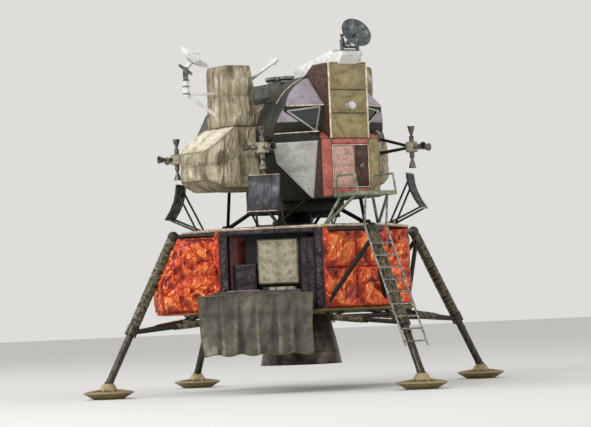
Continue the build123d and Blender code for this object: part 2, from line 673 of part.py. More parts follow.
def outrigger():
    """Pyramid of four tubes that holds the top of a leg off the main face."""
    pieces = []
    for side in (-1, 1):
        x = side * (HALF_FACE - OUTRIGGER_FOOT_IN)
        y = -(FACE_REACH - OUTRIGGER_FOOT_SINK)
        low = STRUT_TOP + STRUT_DIRECTION * OUTRIGGER_LOW
        pieces.append(tube((x, y, INNER_DECK_Z - OUTRIGGER_HEAD_DROP), STRUT_TOP, TRUSS_DIAMETER))
        pieces.append(tube((x, y, INNER_BASE_Z + OUTRIGGER_FOOT_RISE), low, TRUSS_DIAMETER))
    whole = fused(pieces) - end_bays_front()
    return whole - primary_strut()


def end_bays_front():
    """The front end bay alone, to trim what lands on its face."""
    return slab(-HALF_FACE, HALF_FACE, -FACE_REACH, 0, INNER_BASE_Z, INNER_DECK_Z)


# Ladder and porch

def ladder_point(side, z):
    """Point of a ladder rail at height z."""
    share = (z - STRUT_TOP_Z) / STRUT_RUN.Z
    on_strut = STRUT_TOP + STRUT_RUN * share
    return Vector(side * LADDER_WIDTH / 2, on_strut.Y + LADDER_OUT.Y, on_strut.Z)


def ladder():
    """Two rails from the front leg up to the porch lip, nine rungs and the brackets to the strut."""
    lip = Vector(0, PORCH_FRONT_Y + LADDER_LIP_IN, PORCH_TOP_Z - PORCH_THICK)
    pieces = []
    for side in (-1, 1):
        bend = ladder_point(side, LADDER_BEND_Z)
        pieces.append(tube(ladder_point(side, LADDER_FOOT_Z), bend, RAIL_DIAMETER))
        pieces.append(tube(bend, lip + Vector(side * LADDER_WIDTH / 2, 0, 0), RAIL_DIAMETER))
        pieces.append(ball(bend, RAIL_DIAMETER))
    for step in range(RUNG_COUNT):
        z = LADDER_FOOT_Z + FIRST_RUNG_RISE + step * RUNG_PITCH
        pieces.append(tube(ladder_point(-1, z), ladder_point(1, z), RUNG_DIAMETER))
        if step in BRACKET_RUNGS:
            share = (z - BRACKET_DROP - STRUT_TOP_Z) / STRUT_RUN.Z
            pieces.append(tube(ladder_point(0, z), STRUT_TOP + STRUT_RUN * share, BRACKET_DIAMETER))
    return fused(pieces) - primary_strut() - porch()


def porch():
    """Platform before the forward hatch, and its side rails."""
    y0 = PORCH_BACK_Y
    y1 = PORCH_FRONT_Y
    plate = slab(-PORCH_WIDTH / 2, PORCH_WIDTH / 2, y1, y0, PORCH_TOP_Z - PORCH_THICK, PORCH_TOP_Z)
    pieces = [plate]
    for side in (-1, 1):
        x = side * (PORCH_WIDTH / 2 + RAIL_DIAMETER / 2 - RAIL_SINK)
        low = PORCH_TOP_Z - PORCH_THICK / 2
        top = PORCH_TOP_Z + PORCH_RAIL_RISE
        front = (x, y1 + RAIL_FRONT_IN, top)
        back = (x, y0 - RAIL_BACK_IN, top)
        pieces.append(tube((x, y1 + RAIL_FOOT_IN, low), front, RAIL_DIAMETER))
        pieces.append(tube(front, back, RAIL_DIAMETER))
        pieces.append(tube(back, (x, y0 - RAIL_HEEL_IN, low), RAIL_DIAMETER))
        pieces.append(ball(front, RAIL_DIAMETER))
        pieces.append(ball(back, RAIL_DIAMETER))
    return fused(pieces)


def porch_struts():
    """Four struts that carry the porch off the deck."""
    under = PORCH_TOP_Z - PORCH_THICK
    sets = []
    for side in (-1, 1):
        x = side * (PORCH_WIDTH / 2 - PORCH_STRUT_SIDE_IN)
        head_z = under + PORCH_STRUT_SINK
        foot_x = side * (HALF_FACE - PORCH_FOOT_SIDE_IN)
        foot = (foot_x, -(FACE_REACH - PORCH_FOOT_IN), DECK_Z - PORCH_STRUT_SINK)
        pair = tube(foot, (x, PORCH_BACK_Y - PORCH_STRUT_BACK_IN, head_z), PORCH_STRUT_DIAMETER)
        pair = pair + tube(foot, (x, PORCH_FRONT_Y + PORCH_STRUT_FRONT_IN, head_z), PORCH_STRUT_DIAMETER)
        sets.append(pair & slab(-PORCH_WIDTH, PORCH_WIDTH, PORCH_FRONT_Y, 0, DECK_Z, under))
    return sets


# Ascent stage shell

def cabin_profile(inset=0.0):
    """Front outline of the crew cabin: a round back over lower sides that draw in to the floor."""
    r = CABIN_RADIUS
    z = CABIN_AXIS_Z
    arch = ThreePointArc((r, z), (0, z + r), (-r, z))
    lower = Polyline((-r, z), (-CABIN_KNEE_X, CABIN_KNEE_Z), (-CABIN_SILL_X, CABIN_BOTTOM_Z),
                     (CABIN_SILL_X, CABIN_BOTTOM_Z), (CABIN_KNEE_X, CABIN_KNEE_Z), (r, z))
    face = make_face(arch.edges() + lower.edges())
    if inset > 0:
        face = offset(face, -inset, kind=Kind.INTERSECTION)
    return face


def cabin_run(y_back, y_front, inset=0.0):
    """The cabin outline extruded between two stations."""
    return extrude(across(y_back) * cabin_profile(inset), y_back - y_front)


def cabin_barrel():
    """Crew cabin skin from the front face back to the midsection, with its aft bulkhead."""
    shell = cabin_run(CABIN_BACK_Y, CABIN_FRONT_Y)
    shell = shell - cabin_run(CABIN_BACK_Y - WALL, CABIN_FRONT_Y, WALL)
    doorway = slab(-MID_HALF_X + WALL, MID_HALF_X - WALL, CABIN_BACK_Y - WALL, CABIN_BACK_Y,
                   FLOOR_TOP_Z - FLOOR_THICK, MID_TOP_Z - WALL)
    return shell - doorway


def brow_plane(side):
    """Three points of the leaning facet over a window."""
    inner = side * BAND_HALF
    return [(inner, BROW_Y, BROW_Z), (side * CABIN_RADIUS, BROW_SIDE_Y, BROW_Z),
            (inner, BROW_Y + BROW_LEAN * CABIN_RADIUS, BROW_Z + CABIN_RADIUS)]


def window_plane(side):
    """Three points of the window facet, which looks forward, outward and a little down."""
    inner = side * BAND_HALF
    y = BROW_Y + WINDOW_DEPTH
    return [(inner, y, BROW_Z), (side * CABIN_RADIUS, BROW_SIDE_Y + WINDOW_DEPTH, BROW_Z),
            (inner, y + WINDOW_TUCK, CHEEK_Z)]


def cheek_plane(side):
    """Three points of the lower cheek, which sweeps back from the hatch block to the side of the cabin."""
    return [(side * HATCH_BLOCK_HALF, CHEEK_Y, CHEEK_Z), (side * CABIN_RADIUS, CHEEK_SIDE_Y, CHEEK_Z),
            (side * HATCH_BLOCK_HALF, CHEEK_FOOT_Y, CHEEK_FOOT_Z)]


def hatch_block_slope(side):
    """Three points of the slope from the top of the hatch block up to the window facet."""
    return [(side * BAND_HALF, NOSE_Y, HATCH_BLOCK_TOP_Z), (side * CABIN_RADIUS, NOSE_Y, HATCH_BLOCK_TOP_Z),
            (side * BAND_HALF, BROW_Y + WINDOW_TUCK, CHEEK_Z + SLOPE_RISE)]


def facet_cuts(side, inset):
    """What is cut off one side of the front assembly; an inset moves each cut into the metal."""
    far = side * 2 * CABIN_RADIUS
    beside_band = side * (BAND_HALF - inset)
    beside_block = side * (HATCH_BLOCK_HALF - inset)
    y0 = NOSE_Y - CABIN_RADIUS
    y1 = CABIN_FRONT_Y
    top = BAND_TOP_Z + CABIN_RADIUS
    low = CHEEK_Z - SLOPE_DROP
    brow = beyond(brow_plane(side), inset) & slab(beside_band, far, y0, y1, BROW_Z - inset, top)
    window = beyond(window_plane(side), inset) & slab(beside_band, far, y0, y1, CHEEK_Z - inset, BROW_Z + inset)
    slope = beyond(hatch_block_slope(side), inset) & slab(beside_band, far, y0, y1, low, CHEEK_Z + SLOPE_TOP)
    cheek = beyond(cheek_plane(side), inset) & slab(beside_block, far, y0, y1, DECK_Z, CHEEK_Z + inset)
    return [brow, window, slope, cheek]


def nose_block(inset=0.0):
    """The front assembly as a filled body, or what its inside takes away at an inset."""
    body = extrude(across(CABIN_FRONT_Y) * cabin_profile(inset), CABIN_FRONT_Y - NOSE_Y - inset)
    if inset == 0:
        band = [(NOSE_Y, CABIN_AXIS_Z), (NOSE_Y, BAND_TOP_Z), (BAND_CREST_Y, BAND_TOP_Z),
                (CABIN_FRONT_Y, CABIN_AXIS_Z + CABIN_RADIUS - BAND_SINK), (CABIN_FRONT_Y, CABIN_AXIS_Z)]
        body = body + side_run(band, -BAND_HALF, BAND_HALF)
    for side in (-1, 1):
        for cut in facet_cuts(side, inset):
            body = body - cut
    return body


def window_column(side):
    """Triangular window outline run fore and aft through the window facet."""
    corners = [(side * x, z) for x, z in WINDOW_CORNERS]
    face = fillet(make_face(Polyline(*corners, close=True)).vertices(), WINDOW_CORNER_RADIUS)
    return extrude(across(CABIN_FRONT_Y) * face, CABIN_FRONT_Y - NOSE_Y)


def front_face():
    """Front assembly of the cabin with its hatch opening and two triangular windows."""
    half = HATCH_SIZE / 2
    hatchway = slab(-half, half, NOSE_Y - 10, NOSE_Y + 2 * WALL, HATCH_SILL_Z, HATCH_SILL_Z + HATCH_SIZE)
    face = nose_block() - nose_block(WALL) - hatchway
    for side in (-1, 1):
        face = face - window_column(side)
    return face


def window_panes():
    """Two triangular panes set in the window facets."""
    panes = []
    for side in (-1, 1):
        points = window_plane(side)
        layer = beyond(points, PANE_SET_BACK + PANE_THICK) - beyond(points, PANE_SET_BACK)
        panes.append(window_column(side) & layer)
    return Compound(children=panes)


def midsection():
    """Mid hull behind the cabin, open to it in front, with the overhead hatchway in its roof."""
    shell = slab(-MID_HALF_X, MID_HALF_X, CABIN_BACK_Y, MID_BACK_Y, MID_BOTTOM_Z, MID_TOP_Z)
    room = slab(-MID_HALF_X + WALL, MID_HALF_X - WALL, CABIN_BACK_Y, MID_BACK_Y - WALL,
                FLOOR_TOP_Z - FLOOR_THICK, MID_TOP_Z - WALL)
    shell = shell - room
    hatchway = Pos(0, 0, MID_TOP_Z - WALL) * extrude(Circle(TUNNEL_BORE / 2), WALL)
    engine_can = Pos(0, 0, MID_BOTTOM_Z) * extrude(Circle(ENGINE_CAN_RADIUS), ENGINE_CAN_RISE)
    return shell - hatchway - engine_can


def cabin_floor():
    """Floor of the cabin, a sheet inside the skin from the front face back to the aft bulkhead."""
    inner = cabin_run(CABIN_BACK_Y - WALL - GAP, CABIN_FRONT_Y, WALL + 1) + nose_block(WALL + 1)
    wide = CABIN_RADIUS
    return inner & slab(-wide, wide, NOSE_Y, CABIN_BACK_Y, FLOOR_TOP_Z - FLOOR_THICK, FLOOR_TOP_Z)


def docking_tunnel():
    """Round tunnel over the overhead hatch with the docking ring at its top."""
    bore = TUNNEL_BORE / 2
    outer = bore + TUNNEL_WALL
    ring = outer + TUNNEL_RING
    low = TUNNEL_TOP_Z - TUNNEL_RING_RISE
    points = [(bore, MID_TOP_Z), (outer, MID_TOP_Z), (outer, low - TUNNEL_RING_SLOPE), (ring, low),
              (ring, TUNNEL_TOP_Z), (bore, TUNNEL_TOP_Z)]
    return revolved(points)


def roof_fairing():
    """Slanted roof panels that rise from the midsection sides to the tunnel."""
    foot = Pos(0, 0, MID_TOP_Z) * Rectangle(2 * MID_HALF_X, MID_BACK_Y - CABIN_BACK_Y)
    crown = Pos(0, 0, ROOF_CROWN_Z) * Rectangle(2 * ROOF_CROWN_HALF, 2 * ROOF_CROWN_HALF)
    hole = Pos(0, 0, MID_TOP_Z) * extrude(Circle(TUNNEL_BORE / 2 + TUNNEL_WALL), TUNNEL_TOP_Z - MID_TOP_Z)
    return loft([foot, crown]) - hole


def tank_bay(side, reach):
    """Blanketed tank bay at one side: faceted bulge, roof beside the midsection, thruster tank column."""
    bulge = [(MID_HALF_X, BAY_BOTTOM_Z), (reach - BAY_TUCK, BAY_BOTTOM_Z), (reach, BAY_BOTTOM_Z + BAY_TUCK_RISE),
             (reach, BAY_EAVE_Z), (COLUMN_OUTER_X, BAY_SHOULDER_Z), (MID_HALF_X, BAY_SHOULDER_Z)]
    plan = [(MID_HALF_X, BAY_HALF_Y), (reach - BAY_CORNER, BAY_HALF_Y), (reach, BAY_HALF_Y - BAY_CORNER)]
    body = front_run(bulge, BAY_HALF_Y) & both_sides(plan, BAY_BOTTOM_Z, BAY_SHOULDER_Z)
    eave_x = COLUMN_INNER_X + BAY_ROOF_LAP
    roof = [(MID_HALF_X, BAY_SHOULDER_Z), (eave_x, BAY_SHOULDER_Z), (eave_x, BAY_ROOF_LOW_Z),
            (MID_HALF_X, BAY_ROOF_Z)]
    body = body + front_run(roof, BAY_ROOF_HALF_Y)
    half = COLUMN_HALF_Y
    top_half = COLUMN_TOP_HALF_Y
    section = [(-half, BAY_SHOULDER_Z), (-half, COLUMN_SLOPE_Z), (-top_half, COLUMN_TOP_Z), (top_half, COLUMN_TOP_Z),
               (half, COLUMN_SLOPE_Z), (half, BAY_SHOULDER_Z)]
    plan = [(COLUMN_INNER_X, COLUMN_HALF_Y), (COLUMN_OUTER_X - COLUMN_CORNER, COLUMN_HALF_Y),
            (COLUMN_OUTER_X, COLUMN_HALF_Y - COLUMN_CORNER)]
    column = side_run(section, COLUMN_INNER_X, COLUMN_OUTER_X) & both_sides(plan, BAY_SHOULDER_Z, COLUMN_TOP_Z)
    whole = body + column
    return whole if side > 0 else mirror(whole, about=Plane.YZ)


def both_sides(points, z0, z1):
    """An upright prism on (x, y) points, their outline closed by the same points at -y."""
    return prism(points + [(x, -y) for x, y in reversed(points)], z0, z1)


def aft_bay():
    """Aft equipment bay, its lower edge and its upper corners cut back."""
    top_in, top_down = AFT_BAY_TOP_BEVEL
    foot_in, foot_up = AFT_BAY_FOOT_BEVEL
    outline = [(AFT_BAY_FRONT_Y, AFT_BAY_BOTTOM_Z + AFT_BAY_FRONT_RISE), (AFT_BAY_FRONT_Y, AFT_BAY_TOP_Z),
               (AFT_BAY_BACK_Y - top_in, AFT_BAY_TOP_Z), (AFT_BAY_BACK_Y, AFT_BAY_TOP_Z - top_down),
               (AFT_BAY_BACK_Y, AFT_BAY_BOTTOM_Z + foot_up), (AFT_BAY_BACK_Y - foot_in, AFT_BAY_BOTTOM_Z)]
    x = AFT_BAY_HALF_X
    front = [(-x, AFT_BAY_BOTTOM_Z), (x, AFT_BAY_BOTTOM_Z), (x, AFT_BAY_SHOULDER_Z),
             (AFT_BAY_CROWN_HALF, AFT_BAY_TOP_Z), (-AFT_BAY_CROWN_HALF, AFT_BAY_TOP_Z), (-x, AFT_BAY_SHOULDER_Z)]
    return side_run(outline, -x, x) & front_run(front, AFT_BAY_BACK_Y)


def aft_rack():
    """Tubes between the midsection and the aft bay, one set at each side of each level."""
    sets = []
    for side in (-1, 1):
        for z, rise in RACK_LEVELS:
            x = side * (MID_HALF_X - RACK_IN)
            straight = tube((x, MID_BACK_Y, z), (x, AFT_BAY_FRONT_Y, z), RACK_DIAMETER)
            brace = tube((x, MID_BACK_Y, z), (x, AFT_BAY_FRONT_Y + RACK_SINK, z + rise), RACK_BRACE_DIAMETER)
            sets.append(trimmed(straight + brace, [midsection(), aft_bay()]))
    return sets


def gas_spheres():
    """Helium and oxygen spheres in the gap before the aft bay, each on a stem from hull to bay."""
    middle = (MID_BACK_Y + AFT_BAY_FRONT_Y) / 2
    balls = []
    for out, z, diameter in (HELIUM_SPHERE, OXYGEN_SPHERE):
        for x in (-out, out):
            stem = tube((x, MID_BACK_Y, z), (x, AFT_BAY_FRONT_Y, z), SPHERE_STEM_DIAMETER)
            balls.append(ball((x, middle, z), diameter) + stem)
    return Compound(children=balls)


def interstage():
    """Four stage fittings on the deck with the struts that rise from them to the ascent stage."""
    sets = []
    reach = STAGE_FITTING_REACH
    half = STAGE_FITTING_SIZE / 2
    for sx in (-1, 1):
        for sy in (-1, 1):
            foot = (sx * reach, sy * reach, DECK_Z + STAGE_FITTING_RISE / 2)
            block = slab(sx * reach - half, sx * reach + half, sy * reach - half, sy * reach + half, DECK_Z,
                         DECK_Z + STAGE_FITTING_RISE)
            if sy < 0:
                y = sy * (reach + STAGE_FRONT_RUN)
                z = CABIN_BOTTOM_Z + STAGE_STRUT_IN
            else:
                y = AFT_BAY_FRONT_Y + STAGE_AFT_RUN
                z = AFT_BAY_BOTTOM_Z + STAGE_AFT_RISE
            end = (sx * (CABIN_SILL_X - STAGE_END_IN), y, z)
            inner_x = sx * (MID_HALF_X - STAGE_STRUT_IN)
            inner = (inner_x, sy * (reach - STAGE_INNER_RUN), MID_BOTTOM_Z + STAGE_STRUT_IN)
            outer_x = sx * (reach + STAGE_SIDE_OUT)
            outer = (outer_x, sy * (reach - STAGE_SIDE_RUN), BAY_BOTTOM_Z + STAGE_STRUT_IN)
            pieces = [block, tube(foot, inner, STAGE_STRUT_DIAMETER), tube(foot, outer, STAGE_BRACE_DIAMETER)]
            pieces.append(tube(foot, end, STAGE_BRACE_DIAMETER))
            sets.append(fused(pieces))
    return sets


def ascent_engine():
    """Nozzle of the fixed ascent engine under the midsection, over the blast well."""
    top = MID_BOTTOM_Z + ENGINE_CAN_RISE
    profile = ASCENT_BELL_OUTER + ASCENT_BELL_INNER
    return revolved([(0, top)] + [(r, top - drop) for r, drop in profile])


# Thrusters

def nozzle():
    """One thruster along +Z: chamber can and bell, its throat at the origin."""
    can = NOZZLE_CAN_RADIUS
    waist = NOZZLE_WAIST_RADIUS
    lip = NOZZLE_EXIT_RADIUS
    outside = [(0, 0), (can, 0), (can, NOZZLE_CAN_LENGTH), (can / 2, NOZZLE_THROAT_AT), (waist, NOZZLE_WAIST_AT),
               (lip, NOZZLE_LENGTH)]
    inside = [(lip - NOZZLE_LIP, NOZZLE_LENGTH), (waist - NOZZLE_WALL, NOZZLE_WAIST_AT), (can / 4, NOZZLE_FLOOR_AT),
              (0, NOZZLE_FLOOR_AT)]
    return revolved(outside + inside)


def thruster_quad(sx, sy):
    """Cluster of four thrusters: up, down, sideways and fore or aft."""
    single = Pos(0, 0, NOZZLE_STAND) * nozzle()
    pieces = [Rot(0, 0, 45) * Box(CLUSTER_SIZE, CLUSTER_SIZE, CLUSTER_SIZE + CLUSTER_TALLER), single]
    pieces.append(Rot(180, 0, 0) * single)
    pieces.append(Rot(0, 90 * sx, 0) * single)
    pieces.append(Rot(-90 * sy, 0, 0) * single)
    return Pos(sx * QUAD_REACH, sy * QUAD_REACH, QUAD_Z) * fused(pieces)


def thruster_quads():
    """All four clusters, at the corners of the ascent stage."""
    return Compound(children=[thruster_quad(sx, sy) for sx in (-1, 1) for sy in (-1, 1)])


def thruster_booms():
    """Tripods that carry the clusters off the cabin and the aft bay."""
    sets = []
    for sx in (-1, 1):
        cabin = sx * (CABIN_KNEE_X - BOOM_ROOT_IN)
        bay = sx * (AFT_BAY_HALF_X - AFT_BOOM_IN)
        low = QUAD_Z - BOOM_DROP
        ahead = [(cabin, CABIN_BACK_Y - BOOM_BACK, low), (cabin, CABIN_FRONT_Y + BOOM_MIDDLE, QUAD_Z + BOOM_RISE),
                 (cabin, CABIN_FRONT_Y + BOOM_FRONT, low)]
        back = AFT_BAY_FRONT_Y + AFT_BOOM_BACK
        aft = [(bay, back, QUAD_Z + AFT_BOOM_RISE), (bay, back, QUAD_Z - AFT_BOOM_DROP),
               (bay, AFT_BAY_FRONT_Y + AFT_BOOM_FRONT, QUAD_Z)]
        for sy, roots in ((-1, ahead), (1, aft)):
            tip = (sx * QUAD_REACH, sy * QUAD_REACH, QUAD_Z)
            sets.append(fused([tube(root, tip, BOOM_DIAMETER) for root in roots]))
    return sets


def deflector_frame(sx, sy):
    """Upright plane through a cluster: local x outward along the diagonal, local y up from the cluster."""
    d = 1 / sqrt(2)
    origin = (sx * QUAD_REACH, sy * QUAD_REACH, QUAD_Z)
    return Plane(origin=origin, x_dir=(sx * d, sy * d, 0), z_dir=(sy * d, -sx * d, 0))


def plume_deflector(sx, sy):
    """Curved sheet that turns the downward thruster's plume outward, off the descent stage."""
    back = [DEFLECTOR_TOP, DEFLECTOR_MIDDLE, DEFLECTOR_END]
    front = [(x + DEFLECTOR_THICK, z + DEFLECTOR_THICK / 3) for x, z in back]
    face = make_face(ThreePointArc(*back).edges() + ThreePointArc(*front).edges() + Line(back[0], front[0]).edges()
                     + Line(back[2], front[2]).edges())
    return extrude(deflector_frame(sx, sy) * face, DEFLECTOR_HALF_WIDTH, both=True)


def plume_deflectors():
    """One deflector under each cluster."""
    return Compound(children=[plume_deflector(sx, sy) for sx in (-1, 1) for sy in (-1, 1)])


def deflector_truss(sx, sy):
    """Struts from the deck's corner to the back of one plume deflector."""
    place = deflector_frame(sx, sy)
    foot_x = CORNER_REACH - DEFLECTOR_FOOT_IN - QUAD_REACH * sqrt(2)
    foot_z = DECK_Z - QUAD_Z
    half = DEFLECTOR_FOOT_BLOCK / 2
    pieces = []
    for k in (-1, 1):
        spread = k * DEFLECTOR_FOOT_SPREAD
        pieces.append(slab(foot_x - half, foot_x + half, foot_z, foot_z + half, spread - half, spread + half))
        foot = (foot_x, foot_z + half / 2, spread)
        for x, z in (DEFLECTOR_TOP, DEFLECTOR_END):
            lift = DEFLECTOR_HOLD if x > 0 else -DEFLECTOR_HOLD
            end = (x + DEFLECTOR_HOLD, z + lift, k * DEFLECTOR_HOLD_SPREAD)
            pieces.append(tube(foot, end, DEFLECTOR_STRUT_DIAMETER))
    pieces.append(tube((foot_x, foot_z + half / 2, -DEFLECTOR_FOOT_SPREAD),
                       (foot_x, foot_z + half / 2, DEFLECTOR_FOOT_SPREAD), DEFLECTOR_CROSS_DIAMETER))
    back = [DEFLECTOR_TOP, DEFLECTOR_MIDDLE, DEFLECTOR_END]
    far = 3 * DEFLECTOR_HALF_WIDTH
    over_top = (DEFLECTOR_TOP[0], 0)
    beyond_sheet = Polyline(DEFLECTOR_END, (far, DEFLECTOR_END[1]), (far, 0), over_top, DEFLECTOR_TOP)
    front = make_face(ThreePointArc(*back).edges() + beyond_sheet.edges())
    truss = fused(pieces) - extrude(front, far, both=True)
    return place.location * truss


def deflector_struts():
    """The struts of all four deflectors."""
    return [deflector_truss(sx, sy) for sx in (-1, 1) for sy in (-1, 1)]


# Moving pieces

def hatch_hinge():
    """Axis of the forward hatch in plan, and the heights of its two hinges."""
    half = HATCH_SIZE / 2
    middle_z = HATCH_SILL_Z + half
    heights = (middle_z - HATCH_HINGE_SPREAD, middle_z + HATCH_HINGE_SPREAD)
    return -half - HATCH_HINGE_OUT, NOSE_Y + WALL + HATCH_HINGE_BACK, heights


def forward_hatch():
    """Square hatch leaf that plugs the opening from inside, with its flange and hinge knuckles."""
    inner_y = NOSE_Y + WALL
    half = HATCH_SIZE / 2
    middle_z = HATCH_SILL_Z + half
    plug = slab(-half + SHUT_GAP, half - SHUT_GAP, NOSE_Y + HATCH_FACE_IN, inner_y + GAP, HATCH_SILL_Z + SHUT_GAP,
                HATCH_SILL_Z + HATCH_SIZE - SHUT_GAP)
    rim = half + HATCH_LAP
    flange = slab(-rim, rim, inner_y + GAP, inner_y + GAP + HATCH_FLANGE, middle_z - rim, middle_z + rim)
    pieces = [plug, flange]
    x, y, heights = hatch_hinge()
    arm = KNUCKLE_ARM_HALF
    for z in heights:
        z0 = z - KNUCKLE_HALF
        z1 = z + KNUCKLE_HALF
        pieces.append(tube((x, y, z0), (x, y, z1), KNUCKLE_DIAMETER))
        pieces.append(slab(x, -rim + KNUCKLE_ARM_IN, y - arm, y + arm, z0, z1))
        pieces.append(slab(-rim, -rim + KNUCKLE_PAD, inner_y + HATCH_FLANGE, y + arm, z0, z1))
    leaf = fused(pieces)
    for z in heights:
        leaf = leaf - tube((x, y, z - KNUCKLE_HALF - 1), (x, y, z + KNUCKLE_HALF + 1), HINGE_PIN)
    return leaf


def forward_hatch_pins():
    """Hinge pins of the forward hatch with their brackets on the inside of the front face."""
    inner_y = NOSE_Y + WALL
    x, y, heights = hatch_hinge()
    sets = []
    for z in heights:
        pin = tube((x, y, z - PIN_HALF), (x, y, z + PIN_HALF), HINGE_PIN - 2 * PIN_GAP)
        for end in (-1, 1):
            near = z + end * (PIN_HALF - PIN_LUG)
            pin = pin + slab(x - PIN_LUG_OUT, x + PIN_LUG_IN, inner_y, y + PIN_LUG_PAST, near, z + end * PIN_HALF)
        sets.append(pin)
    return sets


def top_hatch():
    """Round overhead hatch below the tunnel with its hinge arm."""
    under = MID_TOP_Z - WALL - GAP - TOP_HATCH_THICK
    leaf = Pos(0, 0, under) * extrude(Circle(TOP_HATCH_DIAMETER / 2), TOP_HATCH_THICK)
    leaf = leaf + Pos(0, 0, under - TOP_HATCH_BOSS) * extrude(Circle(TOP_HATCH_BOSS_RADIUS), TOP_HATCH_BOSS)
    y = TOP_HATCH_DIAMETER / 2 + TOP_HINGE_OUT
    z = under + TOP_HATCH_THICK / 2
    half = TOP_HINGE_HALF
    leaf = leaf + slab(-half, half, y - TOP_ARM_LENGTH, y, z - TOP_ARM_HALF, z + TOP_ARM_HALF)
    leaf = leaf + tube((-half, y, z), (half, y, z), KNUCKLE_DIAMETER)
    return leaf - tube((-half - 1, y, z), (half + 1, y, z), HINGE_PIN)


def top_hatch_pin():
    """Hinge pin of the overhead hatch in two lugs under the roof of the midsection."""
    roof_z = MID_TOP_Z - WALL
    y = TOP_HATCH_DIAMETER / 2 + TOP_HINGE_OUT
    z = roof_z - GAP - TOP_HATCH_THICK / 2
    far = TOP_HINGE_HALF + TOP_LUG_GAP + TOP_LUG
    pin = tube((-far, y, z), (far, y, z), HINGE_PIN - 2 * PIN_GAP)
    for side in (-1, 1):
        near = side * (TOP_HINGE_HALF + TOP_LUG_GAP)
        pin = pin + slab(near, side * far, y - TOP_LUG_HALF, y + TOP_LUG_HALF, z - TOP_LUG_HALF, roof_z)
    return pin


def tray_pose(piece):
    """Put a piece drawn on the shut tray (local x along the hinge, y up, z out) at its open place."""
    plane = corner_plane(270, TRAY_HINGE_OUT)
    hinge = Plane(origin=plane.origin + Vector(0, 0, TRAY_HINGE_Z), x_dir=plane.x_dir, z_dir=plane.z_dir)
    return hinge.location * (Rot(TRAY_OPEN, 0, 0) * piece)


def equipment_tray():
    """Fold-down tray: a shallow pan with upturned edges, pockets for the packages and its hinge tube."""
    half = TRAY_WIDTH / 2
    edge = TRAY_EDGE
    pan = slab(-half, half, TRAY_HEEL, TRAY_LENGTH, TRAY_SKIN - TRAY_THICK, TRAY_SKIN)
    pan = pan - slab(-half + edge, half - edge, TRAY_HEEL + edge, TRAY_LENGTH - edge, TRAY_SKIN - TRAY_THICK,
                     TRAY_SKIN - TRAY_SHEET)
    knuckle = half - TRAY_KNUCKLE_IN
    hinge = tube((-knuckle, 0, 0), (knuckle, 0, 0), TRAY_KNUCKLE)
    web = slab(-knuckle, knuckle, 0, TRAY_HEEL + TRAY_EDGE / 2, -TRAY_WEB_HALF, TRAY_WEB_HALF)
    tray = fused([pan, hinge, web]) - tube((-half, 0, 0), (half, 0, 0), TRAY_PIN)
    return tray_pose(tray)


def tray_hinge():
    """Hinge bar of the tray with its end brackets on the body."""
    half = TRAY_WIDTH / 2
    plane = corner_plane(270, 0)
    base = Plane(origin=plane.origin + Vector(0, 0, TRAY_HINGE_Z), x_dir=plane.x_dir, z_dir=plane.z_dir)
    end = half + TRAY_LUG_IN
    bar = tube((-end, 0, TRAY_HINGE_OUT), (end, 0, TRAY_HINGE_OUT), TRAY_PIN - 2 * PIN_GAP)
    outer = half - TRAY_LUG_IN
    inner = outer - TRAY_LUG_WIDTH
    for side in (-1, 1):
        bar = bar + slab(side * inner, side * outer, -TRAY_LUG_HALF, TRAY_LUG_HALF, 0,
                         TRAY_HINGE_OUT + LUG_BEYOND)
    return base.location * bar


def tray_packages():
    """Packages carried on the tray."""
    seat = TRAY_SKIN - TRAY_SHEET
    boxes = []
    for x, y, wide, high, deep in TRAY_PACKAGES:
        box = slab(x - wide / 2, x + wide / 2, y - high / 2, y + high / 2, seat - deep, seat)
        boxes.append(tray_pose(box))
    return boxes


def bay_packages():
    """Equipment in the tray's bay: a pale container and the boxes beside it, against the bay's back wall."""
    back = -TRAY_BAY_DEPTH
    plane = corner_plane(270, 0)
    base = Plane(origin=plane.origin, x_dir=plane.x_dir, z_dir=plane.z_dir)
    boxes = []
    for x0, x1, z0, z1, front in BAY_BOXES:
        boxes.append(trimmed(base.location * slab(x0, x1, z0, z1, back, front), end_bays()))
    return boxes


def leg_blanket():
    """Film-covered fairing between the crew's right face and its leg, open round the outrigger tubes."""
    face = -FACE_REACH
    slope = STRUT_RUN.Y / STRUT_RUN.Z
    clear = STRUT_DIAMETER / 2 / cos(atan2(abs(STRUT_RUN.Y), abs(STRUT_RUN.Z))) + BLANKET_STRUT_GAP
    low_x = clear - STRUT_TOP_REACH + (BLANKET_KNEE_Z - STRUT_TOP_Z) * slope
    high_x = clear - STRUT_TOP_REACH + (BLANKET_TOP_Z - STRUT_TOP_Z) * slope
    outline = [(face, BLANKET_FOOT_Z), (low_x + BLANKET_FOOT_IN, BLANKET_FOOT_Z), (low_x, BLANKET_KNEE_Z),
               (high_x, BLANKET_TOP_Z), (face, BLANKET_TOP_Z)]
    plan = [(face, -BLANKET_HALF_WIDTH), (face, BLANKET_HALF_WIDTH), (low_x, BLANKET_EDGE_HALF_WIDTH),
            (low_x, -BLANKET_EDGE_HALF_WIDTH)]
    body = front_run(outline, BLANKET_HALF_WIDTH) & prism(plan, BLANKET_FOOT_Z, BLANKET_TOP_Z)
    return body - Rot(0, 0, 270) * outrigger()


def tray_drape():
    """Insulation blanket that hangs from the outer edge of the tray."""
    plane = corner_plane(270, TRAY_HINGE_OUT)
    open_angle = radians(TRAY_OPEN)
    out = TRAY_LENGTH * sin(open_angle) + TRAY_SKIN * cos(open_angle) + GAP
    top = TRAY_HINGE_Z + TRAY_LENGTH * cos(open_angle) + TRAY_SKIN
    base = Plane(origin=plane.origin, x_dir=plane.x_dir, z_dir=plane.z_dir)
    half = DRAPE_WIDTH / 2
    return base.location * slab(-half, half, top - DRAPE_DROP, top, out, out + DRAPE_THICK)


